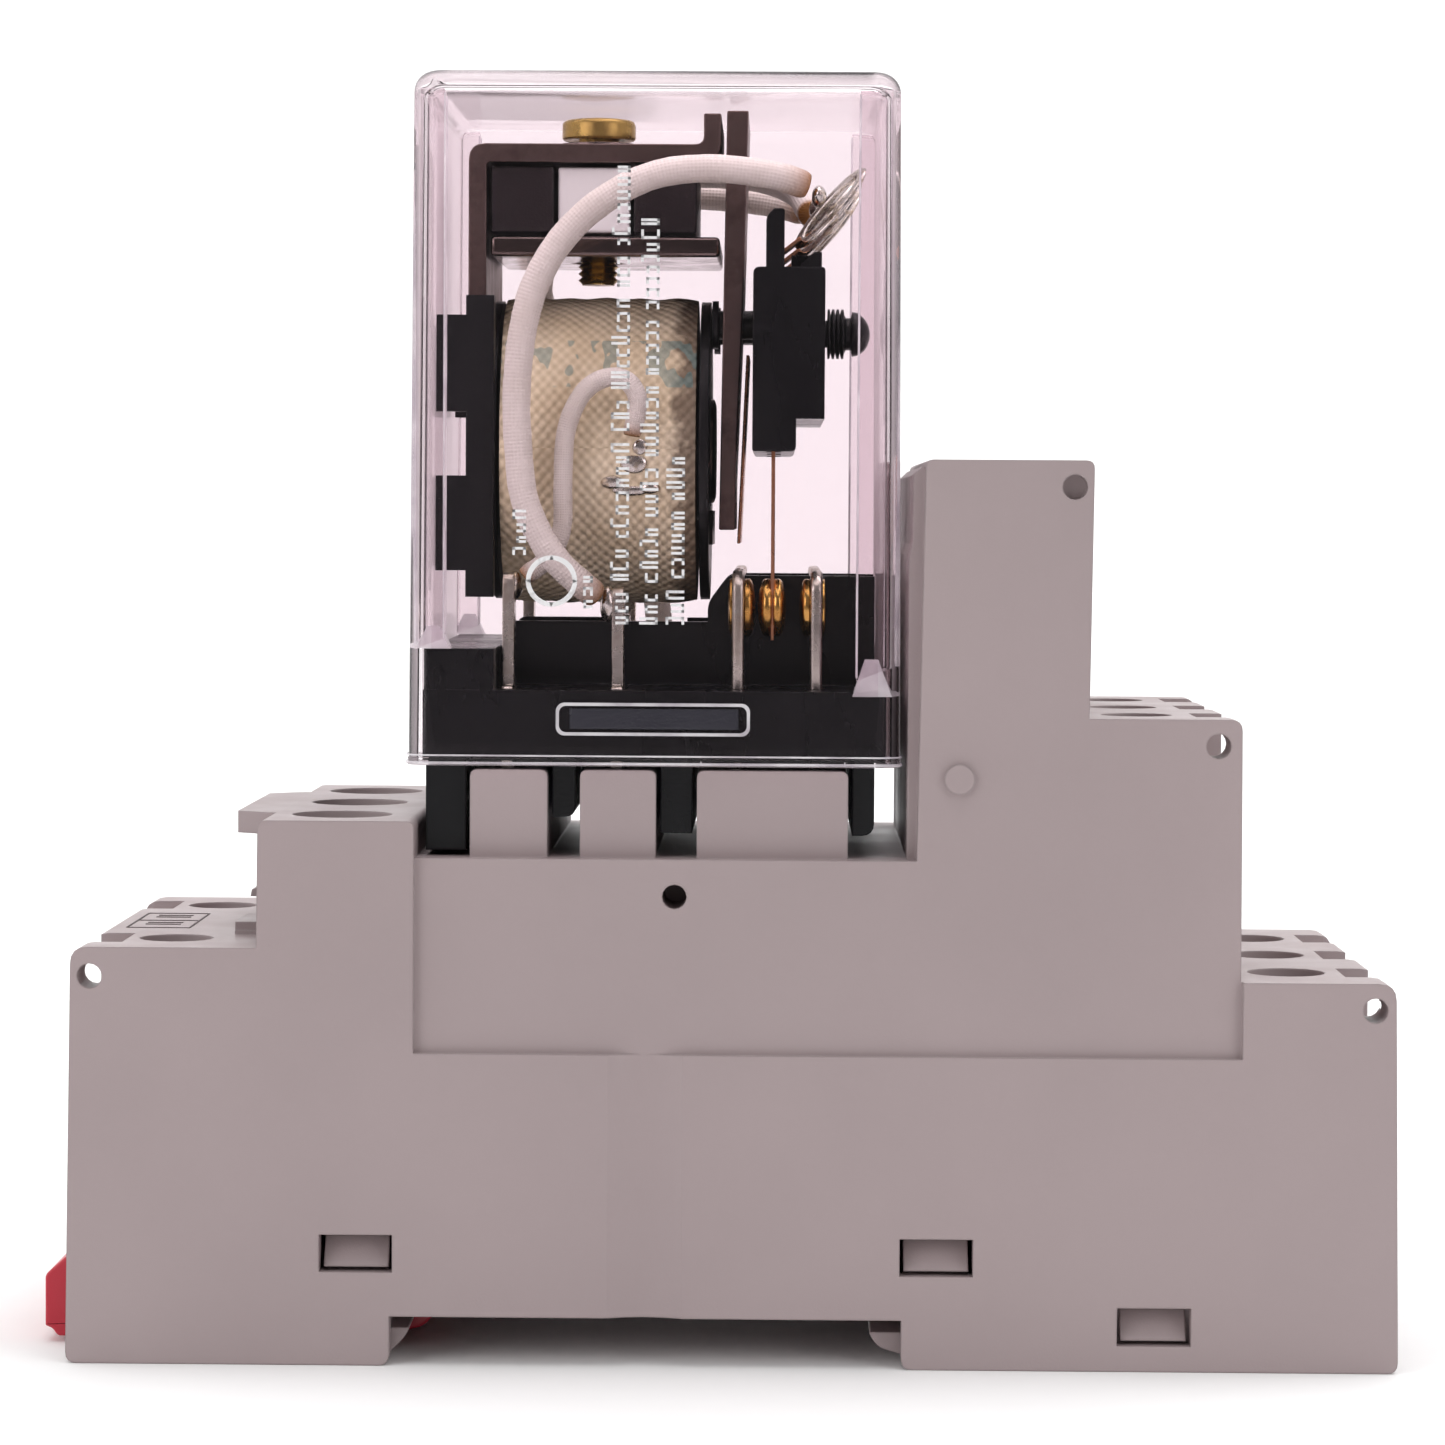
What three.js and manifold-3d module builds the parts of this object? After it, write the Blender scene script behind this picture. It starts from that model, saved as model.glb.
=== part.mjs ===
// Plug-in changeover relay with a clear cover, standing in a stepped rail-mount screw socket.
// Millimetres. +X runs along the socket, +Y across it, +Z up. The origin is the middle of the
// whole object's footprint, on the surface that the socket stands on.

import * as THREE from 'three';
import { mergeVertices } from 'three/addons/utils/BufferGeometryUtils.js';
import Module from 'manifold-3d';

const wasm = await Module();
wasm.setup();

// ---------------------------------------------------------------- driving dimensions

// The socket's side outline. X is counted from the socket's middle.
const halfDepth = 19.75;
const footLeft = -46.85;
const footRight = 46.95;
const shoulderLeft = -46.45;
const shoulderRight = 46.5;
const railLeft = -24.0;
const railRight = 12.05;
const railHeight = 3.48;
const lowLeftTop = 29.45;
const highLeftTop = 38.43;
const seatTop = 35.82;
const towerTop = 63.95;
const highRightTop = 45.9;
const lowRightTop = 27.5;
const stepLeft = -33.3;
const seatLeft = -22.35;
const towerLeft = 12.9;
const towerRight = 25.0;
const stepRight = 35.7;
const latchTip = -49.57;
const latchHalfWidth = 12.0;

// The object's box is longer than the socket by the latch's tab, on the left only.
const socketMiddleX = -(latchTip + footRight) / 2;

// Walls and gaps.
const gap = 0.3;
const sideWall = 1.65;
const cavityTop = 10;
const panelDepth = 0.6;
const panelBottom = 22.1;
const endStrip = 0.6;
const markHoleRadius = 0.88;

// Blade contacts: one row for each pole, and the X of each blade in a row.
const poleRows = [-12.4, 0, 12.4];
const coilX = -16.15;
const commonX = -8.35;
const closedX = 0.22;
const openX = 5.78;
const bladeThickness = 0.85;
const bladeWidth = 4.8;
const bladeTip = 35.2;
const pillarTop = 42.0;
const pillarDepth = 17.75;
const pillars = [[-18.55, -13.1], [-10.8, -5.45], [-2.56, 8.08]];

// Terminals. Each tier is a step of the socket with its row of screws.
const tiers = [
  { name: 'coil', side: -1, screwX: -39.9, wallX: shoulderLeft, top: lowLeftTop, rows: [-12.9, 12.9],
    holeRadius: 2.65, notchDepth: 3.1, notchWidth: 6.4, headDrop: 2.0 },
  { name: 'common', side: -1, screwX: -28.0, wallX: stepLeft, top: highLeftTop, rows: [-13.0, 0, 13.0],
    holeRadius: 3.6, notchDepth: 0, notchWidth: 6.4, headDrop: 0.4 },
  { name: 'open', side: 1, screwX: 39.6, wallX: shoulderRight, top: lowRightTop, rows: poleRows,
    holeRadius: 2.8, notchDepth: 3.0, notchWidth: 5.8, headDrop: 2.0 },
  { name: 'closed', side: 1, screwX: 28.7, wallX: stepRight, top: highRightTop, rows: poleRows,
    holeRadius: 2.55, notchDepth: 3.0, notchWidth: 5.8, headDrop: 2.0 },
];
const screwHeadRadius = 3.0;
const screwHeadHeight = 1.8;
const screwShankRadius = 1.7;
const clampTravel = 1.6;
const clampSize = { x: 6.2, y: 6.8, z: 5.8, wall: 1.0 };
const tunnelHeight = 4.6;

// The relay.
const cover = {
  left: -22.95, right: 11.75, halfDepth: 19.1, bottom: 42.35, top: 91.0, wall: 0.85, corner: 1.3,
};
const deck = { left: -21.8, right: 10.6, halfDepth: 17.9, bottom: 42.65, top: 47.6 };
const contactZ = 53.4;
const coilAxisZ = 64.7;
const windingRadius = 11.3;
const frameHalfWidth = 9.0;
const screwAxisX = -10.4;
const leadRadius = 1.0;
const coilLeadRadius = 0.68;

// ---------------------------------------------------------------- finishes

const finish = (color, roughness, metalness) => (
  new THREE.MeshStandardMaterial({ color, roughness, metalness }));
const greyPlastic = finish(0xa9a09e, 0.55, 0);
const redPlastic = finish(0xc4142a, 0.4, 0);
const blackPlastic = finish(0x161517, 0.4, 0);
const clearPlastic = new THREE.MeshStandardMaterial({
  color: 0xf3ecf2, roughness: 0.05, metalness: 0, transparent: true, opacity: 0.25,
});
const whitePlastic = finish(0xd8d4d0, 0.5, 0);
const ferrite = finish(0x232022, 0.5, 0.1);
const frameSteel = finish(0x4a3f3f, 0.35, 0.9);
const platedSteel = finish(0xb9b4ac, 0.3, 1);
const brass = finish(0xa88a3c, 0.3, 1);
const springCopper = finish(0x8a5240, 0.35, 1);
const windingTape = finish(0xb8a47c, 0.8, 0);
const leadSleeve = finish(0xd6cec6, 0.6, 0);

// ---------------------------------------------------------------- solids

// A closed three.js geometry as a solid, turned right side out, without zero-area triangles.
function toSolid(geometry) {
  const bare = geometry.clone();
  bare.deleteAttribute('normal');
  bare.deleteAttribute('uv');
  const merged = mergeVertices(bare, 1e-4);
  const [a, b, c] = [new THREE.Vector3(), new THREE.Vector3(), new THREE.Vector3()];
  const triangles = [];
  let volume = 0;
  for (let i = 0; i < merged.index.count; i += 3) {
    const corners = [0, 1, 2].map((k) => merged.index.getX(i + k));
    if (new Set(corners).size < 3) continue;
    [a, b, c].forEach((point, k) => point.fromBufferAttribute(merged.attributes.position, corners[k]));
    volume += a.dot(b.cross(c));
    triangles.push(corners);
  }
  if (volume < 0) triangles.forEach((corners) => corners.reverse());
  return new wasm.Manifold(new wasm.Mesh({
    numProp: 3,
    vertProperties: new Float32Array(merged.attributes.position.array),
    triVerts: new Uint32Array(triangles.flat()),
  }));
}

// A box given by its low and high value on each axis.
function block([x0, x1], [y0, y1], [z0, z1]) {
  const box = new THREE.BoxGeometry(x1 - x0, y1 - y0, z1 - z0);
  return toSolid(box.translate((x0 + x1) / 2, (y0 + y1) / 2, (z0 + z1) / 2));
}

// An outline from corners [u, v, radius]; a corner with a radius is rounded.
function outline(corners) {
  const shape = new THREE.Shape();
  const point = (i) => new THREE.Vector2(...corners[(i + corners.length) % corners.length]);
  corners.forEach(([, , radius = 0], i) => {
    const corner = point(i);
    const before = corner.clone().add(point(i - 1).sub(corner).setLength(radius));
    const after = corner.clone().add(point(i + 1).sub(corner).setLength(radius));
    if (i === 0) shape.moveTo(before.x, before.y);
    else shape.lineTo(before.x, before.y);
    if (radius > 0) shape.quadraticCurveTo(corner.x, corner.y, after.x, after.y);
  });
  shape.closePath();
  return shape;
}

const rectangle = ([u0, u1], [v0, v1], radius = 0) => outline([
  [u0, v0, radius], [u1, v0, radius], [u1, v1, radius], [u0, v1, radius],
]);

// Which way an outline's two directions and its depth point, for each axis it is pushed along.
const frames = {
  x: new THREE.Matrix4().makeBasis(
    new THREE.Vector3(0, 1, 0), new THREE.Vector3(0, 0, 1), new THREE.Vector3(1, 0, 0)),
  y: new THREE.Matrix4().makeBasis(
    new THREE.Vector3(1, 0, 0), new THREE.Vector3(0, 0, 1), new THREE.Vector3(0, -1, 0)),
  z: new THREE.Matrix4(),
};

// A prism: the outline lies in the other two axes (Y-Z, X-Z or X-Y) and runs between two values.
function prism(axis, shape, [low, high], curveSegments = 4) {
  const depth = high - low;
  const geometry = new THREE.ExtrudeGeometry(shape, { depth, bevelEnabled: false, curveSegments });
  geometry.translate(0, 0, axis === 'y' ? -high : low);
  return toSolid(geometry.applyMatrix4(frames[axis]));
}

// A round bar along an axis; the centre is given in the other two axes.
function bar(axis, radius, [low, high], [u, v], sides = 16) {
  const geometry = new THREE.CylinderGeometry(radius, radius, high - low, sides);
  geometry.rotateX(Math.PI / 2).translate(u, v, 0);
  geometry.translate(0, 0, (axis === 'y' ? -1 : 1) * (low + high) / 2);
  return toSolid(geometry.applyMatrix4(frames[axis]));
}

// A turned piece: [radius, height] points about an axis, from the axis back to the axis.
function turned(axis, profile, [u, v], sides = 16) {
  const points = profile.map(([radius, height]) => new THREE.Vector2(radius, height));
  const geometry = new THREE.LatheGeometry(points, sides).rotateX(Math.PI / 2).translate(u, v, 0);
  return toSolid(geometry.applyMatrix4(frames[axis]));
}

// A bent flat strip: a centre line in X-Z with a thickness, as wide as its span in Y.
function strip(line, thickness, span) {
  const points = line.map(([x, z]) => new THREE.Vector2(x, z));
  const offsets = points.map((point, i) => {
    const forward = points[Math.min(i + 1, points.length - 1)].clone().sub(point).normalize();
    const back = point.clone().sub(points[Math.max(i - 1, 0)]).normalize();
    const along = forward.add(back).normalize();
    return new THREE.Vector2(-along.y, along.x).multiplyScalar(thickness / 2);
  });
  const left = points.map((point, i) => point.clone().add(offsets[i]).toArray());
  const right = points.map((point, i) => point.clone().sub(offsets[i]).toArray());
  return prism('y', outline([...left, ...right.reverse()]), span);
}

// A round lead along a smooth curve through its points.
function lead(points, radius, steps) {
  const path = new THREE.CatmullRomCurve3(points.map((point) => new THREE.Vector3(...point)));
  const section = new THREE.Shape().absarc(0, 0, radius, 0, 2 * Math.PI);
  return toSolid(new THREE.ExtrudeGeometry(section, { extrudePath: path, steps, curveSegments: 4 }));
}

const joined = (solids) => solids.reduce((sum, solid) => sum.add(solid));
const cut = (body, solids) => solids.reduce((rest, solid) => rest.subtract(solid), body);
const bothSides = (make) => [make(-1), make(1)];
const span = (side, near, far) => (side < 0 ? [-far, -near] : [near, far]);
const around = (middle, half) => [middle - half, middle + half];

// A named mesh from a solid.
function piece(name, solid, material) {
  const { vertProperties, triVerts } = solid.getMesh();
  const geometry = new THREE.BufferGeometry();
  geometry.setAttribute('position', new THREE.BufferAttribute(vertProperties, 3));
  geometry.setIndex(new THREE.BufferAttribute(triVerts, 1));
  geometry.computeVertexNormals();
  const mesh = new THREE.Mesh(geometry, material);
  mesh.name = name;
  return mesh;
}

// ---------------------------------------------------------------- terminals

// Heights of a terminal's parts, counted down from the top of its step.
function terminalHeights({ top, headDrop }) {
  const headTop = top - headDrop;
  const headBottom = headTop - screwHeadHeight;
  const clampTop = headBottom - gap - clampTravel;
  const clampBottom = clampTop - clampSize.z;
  return { headTop, headBottom, clampTop, clampBottom, shankTip: clampTop - clampSize.wall - 0.9 };
}

// A clamping screw: a domed slotted head and a short shank that ends on the contact bar.
function terminalScrew(tier, y) {
  const { headTop, headBottom, shankTip } = terminalHeights(tier);
  const head = turned('z', [
    [0, shankTip], [screwShankRadius, shankTip], [screwShankRadius, headBottom],
    [screwHeadRadius, headBottom], [screwHeadRadius, headTop - 0.5], [screwHeadRadius - 0.5, headTop],
    [0, headTop],
  ], [tier.screwX, y], 12);
  const slot = block(around(tier.screwX, 4), around(y, 0.5), [headTop - 0.9, headTop + 1]);
  return head.subtract(slot);
}

// A rising clamp: a square box of strip, open to the wire, with the screw's hole in its roof.
function terminalClamp(tier, y) {
  const { clampTop, clampBottom } = terminalHeights(tier);
  const { x, y: width, wall } = clampSize;
  const body = prism('x', rectangle(around(y, width / 2), [clampBottom, clampTop], 0.6),
    around(tier.screwX, x / 2), 1);
  const window = block(around(tier.screwX, x), around(y, width / 2 - wall),
    [clampBottom + wall, clampTop - wall]);
  const hole = bar('z', screwShankRadius + gap, [clampTop - 2, clampTop + 1], [tier.screwX, y], 12);
  return cut(body, [window, hole]);
}

// Everything that one terminal takes out of the socket's body.
function terminalCutters(tier, y) {
  const { headTop, headBottom, clampTop, clampBottom } = terminalHeights(tier);
  const { side, screwX, wallX, top, notchDepth, notchWidth } = tier;
  const pocketX = clampSize.x / 2 + gap;
  const pocketY = clampSize.y / 2 + gap;
  const outside = wallX + side * 3;
  const tunnelX = [screwX, outside].sort((a, b) => a - b);
  const tunnelBottom = clampBottom + clampSize.wall + 0.2;
  const cutters = [
    bar('z', tier.holeRadius, [headBottom, top + 1], [screwX, y], 20),
    bar('z', screwHeadRadius + gap, [headBottom - 0.1, headTop + gap], [screwX, y], 12),
    block(around(screwX, pocketX), around(y, pocketY), [clampBottom - gap, headBottom]),
    block(tunnelX, around(y, notchWidth / 2), [tunnelBottom, tunnelBottom + tunnelHeight]),
  ];
  if (notchDepth > 0) {
    const notchX = [wallX - side * notchDepth, outside].sort((a, b) => a - b);
    cutters.push(block(notchX, around(y, notchWidth / 2), [tunnelBottom, top + 1]));
  }
  return cutters;
}

// ---------------------------------------------------------------- socket

// The side outline that the whole socket body follows.
function socketOutline() {
  return outline([
    [footLeft, 0, 0.8], [railLeft, 0, 0.8], [railLeft, railHeight], [railRight, railHeight],
    [railRight, 0, 0.8], [footRight, 0, 0.8], [shoulderRight, lowRightTop, 1.2], [stepRight, lowRightTop],
    [stepRight - 0.1, highRightTop, 0.8], [towerRight - 0.1, highRightTop], [towerRight + 0.1, towerTop, 0.6],
    [towerLeft + 0.45, towerTop, 0.5], [towerLeft, seatTop], [seatLeft, seatTop],
    [seatLeft, highLeftTop, 0.5], [stepLeft, highLeftTop, 0.6], [stepLeft - 0.1, lowLeftTop],
    [shoulderLeft, lowLeftTop, 1.2],
  ]);
}

// The wall that faces the relay: a raised pad with two pairs of upright grooves.
function towerPad() {
  const pad = prism('y', outline([
    [towerLeft - 0.65, seatTop - 0.5], [towerLeft + 1, seatTop - 0.5], [towerLeft + 1, towerTop - 0.5],
    [towerLeft + 0.2, towerTop - 0.5], [towerLeft - 0.4, towerTop - 1.1], [towerLeft - 0.4, 58.0],
    [towerLeft - 0.65, 57.2],
  ]), [-17.4, 17.4]);
  const grooves = bothSides((side) => [12.6, 15.4].map((y) => block(
    [towerLeft - 1, towerLeft - 0.1], span(side, y, y + 0.9), [seatTop, towerTop + 1]))).flat();
  return cut(pad, grooves);
}

// The tab over the left step, the two clips and the low sill that hold a marker plate.
function markerHolder() {
  const tab = prism('z', outline([
    [stepLeft + 1, -11.5], [stepLeft, -11.5], [stepLeft - 2.6, -9.8], [stepLeft - 2.6, 9.8],
    [stepLeft, 11.5], [stepLeft + 1, 11.5],
  ]), [highLeftTop - 1.6, highLeftTop - 0.02]);
  const sill = block([stepLeft - 2.8, stepLeft + 0.5], [-10, 10], [lowLeftTop - 0.5, lowLeftTop + 0.9]);
  const clips = bothSides((side) => prism('y', outline([
    [stepLeft + 0.5, 32.2], [stepLeft - 1.7, 32.2], [stepLeft - 1.6, 32.7], [stepLeft + 0.5, 33.4],
  ]), span(side, 6.2, 9.8)));
  return [tab, sill, ...clips];
}

// Snap windows in both side walls: the X span and the Z span of each.
const snapWindows = [
  { x: [-28.95, -23.8], z: [6.6, 9.25] },
  { x: [11.9, 17.05], z: [6.6, 9.25] },
  { x: [27.2, 32.4], z: [1.8, 4.5] },
];

// What is taken from the outside of both side walls.
function sideCutters(side) {
  const face = span(side, halfDepth - panelDepth, halfDepth + 1);
  const wall = span(side, halfDepth - sideWall - 1, halfDepth + 1);
  const panel = block([seatLeft, stepRight + 0.1], face, [panelBottom, towerTop + 1]);
  const grooveRadius = 6.04;
  const groove = bar('z', grooveRadius, [railHeight - 1, panelBottom + 0.01],
    [-6.03, side * (halfDepth + grooveRadius - panelDepth)], 60);
  const markHoles = [[-45.12, 27.4], [45.07, 25.6], [33.96, 44.03]].map(([x, z]) => (
    bar('y', markHoleRadius, span(side, 14.5, halfDepth + 1), [x, z], 16)));
  const towerMark = bar('y', markHoleRadius, span(side, halfDepth - 1.6, halfDepth + 1), [23.74, 62.08], 16);
  const bailHole = bar('y', 0.86, span(side, halfDepth - 6, halfDepth + 1), [-4.08, 33.2], 16);
  const windows = snapWindows.map(({ x, z }) => block(x, wall, z));
  return [panel, groove, ...markHoles, towerMark, bailHole, ...windows];
}

// The blocks between the wire notches stop a little short of the side walls' ends.
function endCutters() {
  const between = [-halfDepth + 3.6, halfDepth - 3.6];
  return [
    block([footLeft - 1, shoulderLeft + endStrip], between, [13, lowLeftTop + 1]),
    block([shoulderRight - endStrip, footRight + 1], between, [11, lowRightTop + 1]),
    block([stepRight - endStrip, stepRight + 1], between, [lowRightTop, highRightTop + 1]),
  ];
}

// Slots for the blades, through the pillars and into the body below the seat.
function bladeSlots() {
  const clear = 0.4;
  const slot = (x, y) => block(around(x, bladeThickness / 2 + clear), around(y, bladeWidth / 2 + clear),
    [bladeTip - 0.8, pillarTop + 1]);
  const rows = poleRows.flatMap((y) => [commonX, closedX, openX].map((x) => slot(x, y)));
  const coil = [poleRows[0], poleRows[2]].map((y) => slot(coilX, y));
  return [...rows, ...coil];
}

// A pocket in the tower for a plug-in module, with two slots for its blades.
function modulePocket() {
  const pocket = block([14.9, 23.3], [-15.5, 15.5], [48.5, towerTop + 1]);
  const slots = [-4, 4].map((y) => block([18.5, 19.7], around(y, 2.2), [43, 49]));
  return [pocket, ...slots];
}

function socketHousing() {
  const body = prism('y', socketOutline(), [-halfDepth, halfDepth]);
  const ribs = pillars.map(([x0, x1]) => prism('y', outline([
    [x0, seatTop - 1], [x1, seatTop - 1], [x1, pillarTop, 0.5], [x0, pillarTop, 0.5],
  ]), [-pillarDepth, pillarDepth], 3));
  const bosses = bothSides((side) => bar('y', 1.05, span(side, halfDepth - 1.5, halfDepth - 0.2),
    [15.85, 41.6], 20));
  const terminals = tiers.flatMap((tier) => tier.rows.flatMap((y) => terminalCutters(tier, y)));
  const inside = halfDepth - sideWall;
  const cavity = block([footLeft + 1.5, footRight - 1.5], [-inside, inside], [-1, cavityTop]);
  const doorHalf = latchHalfWidth + 0.4;
  const latchDoor = block([footLeft - 1, footLeft + 3], [-doorHalf, doorHalf], [-1, 7.0]);
  const outer = cut(joined([body, ...ribs, towerPad(), ...markerHolder()]),
    [...sideCutters(-1), ...sideCutters(1)]);
  return cut(joined([outer, ...bosses]),
    [cavity, latchDoor, ...terminals, ...endCutters(), ...bladeSlots(), ...modulePocket()]);
}

// The closing plate under the socket: rail seat, fixed rail hook, latch channel and snap tabs.
function basePlate() {
  const inside = halfDepth - sideWall - gap;
  const left = [footLeft + 1.85, railLeft - 0.25];
  const right = [railRight + 0.25, footRight - 1.85];
  const blockTop = 4.2;
  const bottom = 0.25;
  const latchHalf = latchHalfWidth + gap;
  const blocks = joined([
    block(left, [-inside, inside], [bottom, blockTop]),
    block([left[1] - 1, right[0] + 1], [-inside, inside], [railHeight + 0.02, railHeight + 1.7]),
    block([right[0], right[1]], [-inside, inside], [bottom, blockTop]),
  ]);
  const trays = [
    ...bothSides((side) => block([left[0] + 1, left[1] - 1.2], span(side, latchHalf + 1.2, inside - 1.2),
      [1.6, blockTop + 1])),
    block([right[0] + 1.2, right[1] - 1], [-inside + 1.2, inside - 1.2], [1.6, blockTop + 1]),
  ];
  const channel = block([left[0] - 1, left[1] + 1], [-latchHalf, latchHalf], [-1, 2.6]);
  const straps = [-43, -32].map((x) => block([x, x + 2], [-latchHalf - 0.5, latchHalf + 0.5], [bottom, 0.6]));
  const hook = prism('y', outline([
    [railRight + 1, 2.3], [9.8, 2.3, 0.2], [10.4, 1.25, 0.6], [railRight, 0.75], [railRight + 1, 0.75],
  ]), [-inside, inside]);
  const lips = bothSides((side) => prism('y', outline([
    [railLeft - 1, 0.7], [railLeft, 0.7], [-23.1, 1.6, 0.5], [-22.7, 2.35, 0.2], [railLeft - 1, 2.35],
  ]), span(side, latchHalf + 0.4, inside)));
  const tabs = snapWindows.flatMap(({ x, z }) => bothSides((side) => {
    const [root, face, barb] = [inside - 1.2, inside, inside + 1.35].map((y) => side * y);
    return prism('x', outline([
      [root, bottom + 1], [face, bottom + 1], [face, z[0] + gap], [barb, z[0] + gap],
      [face, z[1] - gap], [root, z[1] - gap],
    ]), [x[0] + gap, x[1] - gap]);
  }));
  return joined([cut(blocks, [...trays, channel]), ...straps, hook, ...lips, ...tabs]);
}

// The sprung rail latch: a slide with a jaw at the rail and a tab for a screwdriver at the end.
function dinLatch() {
  const slide = prism('y', outline([
    [latchTip + 0.9, 0.4, 0.2], [latchTip + 0.5, 0.95], [latchTip, 1.15, 0.1], [latchTip, 4.85, 0.3],
    [latchTip + 1.5, 6.2, 0.2], [footLeft + 1.3, 6.2], [footLeft + 1.3, 2.3], [-21.3, 2.3, 0.2],
    [-22.2, 1.3, 0.6], [-24.2, 0.9], [footLeft, 0.9], [footLeft - 0.5, 0.4],
  ]), [-latchHalfWidth, latchHalfWidth]);
  const slot = block([latchTip + 0.9, latchTip + 1.9], [-2.6, 2.6], [-1, 9]);
  return slide.subtract(slot);
}

function socketParts() {
  const parts = [
    piece('socket_housing', socketHousing(), greyPlastic),
    piece('base_plate', basePlate(), greyPlastic),
    piece('din_latch', dinLatch(), redPlastic),
  ];
  tiers.forEach((tier) => tier.rows.forEach((y, i) => {
    parts.push(piece(`screw_${tier.name}_${i + 1}`, terminalScrew(tier, y), platedSteel));
    parts.push(piece(`clamp_${tier.name}_${i + 1}`, terminalClamp(tier, y), platedSteel));
  }));
  return parts;
}

// ---------------------------------------------------------------- relay: base, cover, contacts

// The clear cover: a rounded shell, open at the bottom.
function coverShell() {
  const { left, right, halfDepth: half, bottom, top, wall, corner } = cover;
  const outer = prism('z', rectangle([left, right], [-half, half], corner), [bottom, top], 5);
  const room = rectangle([left + wall, right - wall], [-half + wall, half - wall], corner - wall / 2);
  return outer.subtract(prism('z', room, [bottom - 1, top - wall - 0.3], 5));
}

// The black base: a deck with walls between the poles, skirts between the pillars and blade slots.
function relayBase() {
  const { left, right, halfDepth: half, bottom, top } = deck;
  const plate = block([left, right], [-half, half], [bottom, top]);
  const endWall = block([left, -16.9], [-half + 0.2, half - 0.2], [top - 1, 50.5]);
  // Each barrier is tall between the contacts and low under the coil.
  const barriers = [-6.2, 6.2].map((y) => prism('y', outline([
    [-17.6, top - 1], [right - 0.2, top - 1], [right - 0.2, 55.6], [-0.6, 55.6, 0.6], [-2.05, 53.6, 0.6],
    [-2.05, 52.2], [-16.6, 52.2, 0.6], [-16.6, 50], [-17.6, 50],
  ]), around(y, 0.65)));
  const leadNotch = block([-8.6, -3.8], [5, 7.5], [48.6, 53]);
  const skirts = [
    [-21.75, -18.9, 36.2, 0], [-12.8, -11.15, 38.6, 0.8], [-5.15, -2.9, 37.5, 0], [8.4, 9.95, 37.4, 0.9],
  ].map(([x0, x1, low, radius]) => prism('y', outline([
    [x0, low], [x1, low, radius], [x1, bottom + 1], [x0, bottom + 1],
  ]), [-16.6, 16.6]));
  const slot = (x, y) => block(around(x, bladeThickness / 2 + gap), around(y, bladeWidth / 2 + gap),
    [bottom - 1, top + 1]);
  const slots = [
    ...poleRows.flatMap((y) => [commonX, closedX, openX].map((x) => slot(x, y))),
    slot(coilX, poleRows[0]), slot(coilX, poleRows[2]),
  ];
  return cut(joined([plate, endWall, ...barriers, ...skirts]), [...slots, leadNotch]);
}

// A blade with its tapered tip, from the socket up to a given height.
function blade(x, y, top) {
  const half = bladeWidth / 2;
  return prism('x', outline([
    [y - half, top, 0.6], [y - half, bladeTip + 1.2], [y - half + 0.8, bladeTip],
    [y + half - 0.8, bladeTip], [y + half, bladeTip + 1.2], [y + half, top, 0.6],
  ]), around(x, bladeThickness / 2), 3);
}

// A fixed contact: its blade, a button on the side that meets the spring, and the rivet's tail.
function fixedContact(x, y, towards) {
  const face = x + towards * bladeThickness / 2;
  const back = x - towards * bladeThickness / 2;
  const inOrder = (values) => values.sort((low, high) => low - high);
  const button = bar('x', 2.1, inOrder([face - towards * 0.1, face + towards * 0.8]), [y, contactZ]);
  const tail = bar('x', 1.1, inOrder([back + towards * 0.1, back - towards * 0.3]), [y, contactZ], 12);
  return joined([blade(x, y, 56.1), button, tail]);
}

// A solder post: the blade below the deck, a narrower post above it.
function solderPost(x, y, top) {
  const post = prism('x', outline([
    [y - 1.1, deck.top - 1], [y + 1.1, deck.top - 1], [y + 1.1, top, 1], [y - 1.1, top, 1],
  ]), around(x, bladeThickness / 2), 3);
  const eye = bar('x', 0.5, around(x, 2), [y, top - 1.6], 12);
  return joined([blade(x, y, deck.top + 0.2), post]).subtract(eye);
}

// A moving contact: a thin spring hung from the carrier, its double button and its solder tab.
function movingSpring(y) {
  const springX = 2.66;
  const blank = strip([[springX, 51.1], [springX, 78.4], [3.7, 79.2], [6.9, 85.0]], 0.34, around(y, 2));
  const leftButton = bar('x', 2.1, [1.6, springX], [y, contactZ]);
  const rightButton = bar('x', 2.1, [springX, 3.65], [y, contactZ]);
  return joined([blank, leftButton, rightButton]);
}

// ---------------------------------------------------------------- relay: motor

// The bobbin: a tube with two flanges, and the clips that grip the frame's back plate.
function bobbin() {
  const flange = windingRadius - 0.3;
  const form = turned('x', [
    [4.2, -17.9], [flange, -17.9], [flange, -17.3], [5.1, -17.3], [5.1, -2.7], [flange, -2.7],
    [flange, -2.0], [4.2, -2.0], [4.2, -17.9],
  ], [0, coilAxisZ], 24);
  const clips = bothSides((side) => joined([
    block([-19.4, -17.4], span(side, frameHalfWidth + gap, flange), [54.0, 75.6]),
    block([-21.7, -19.2], span(side, frameHalfWidth + gap, flange), [67.3, 74.2]),
    block([-21.7, -19.2], span(side, frameHalfWidth + gap, flange), [55.9, 62.7]),
  ]));
  const pad = block([-2.1, -1.75], [-6, 6], [coilAxisZ - 6.9, coilAxisZ - 4.4]);
  return joined([form, ...clips, pad]);
}

const winding = () => turned('x', [
  [5.4, -17.0], [windingRadius, -17.0], [windingRadius, -2.95], [5.4, -2.95], [5.4, -17.0],
], [0, coilAxisZ], 32);

// The core: a pole rod whose tail is riveted through the frame.
const core = () => turned('x', [
  [0, -19.8], [2.4, -19.8], [2.4, -18.0], [3.85, -17.8], [3.85, -1.75], [3.4, -1.6], [0, -1.6],
], [0, coilAxisZ], 16);

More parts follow.
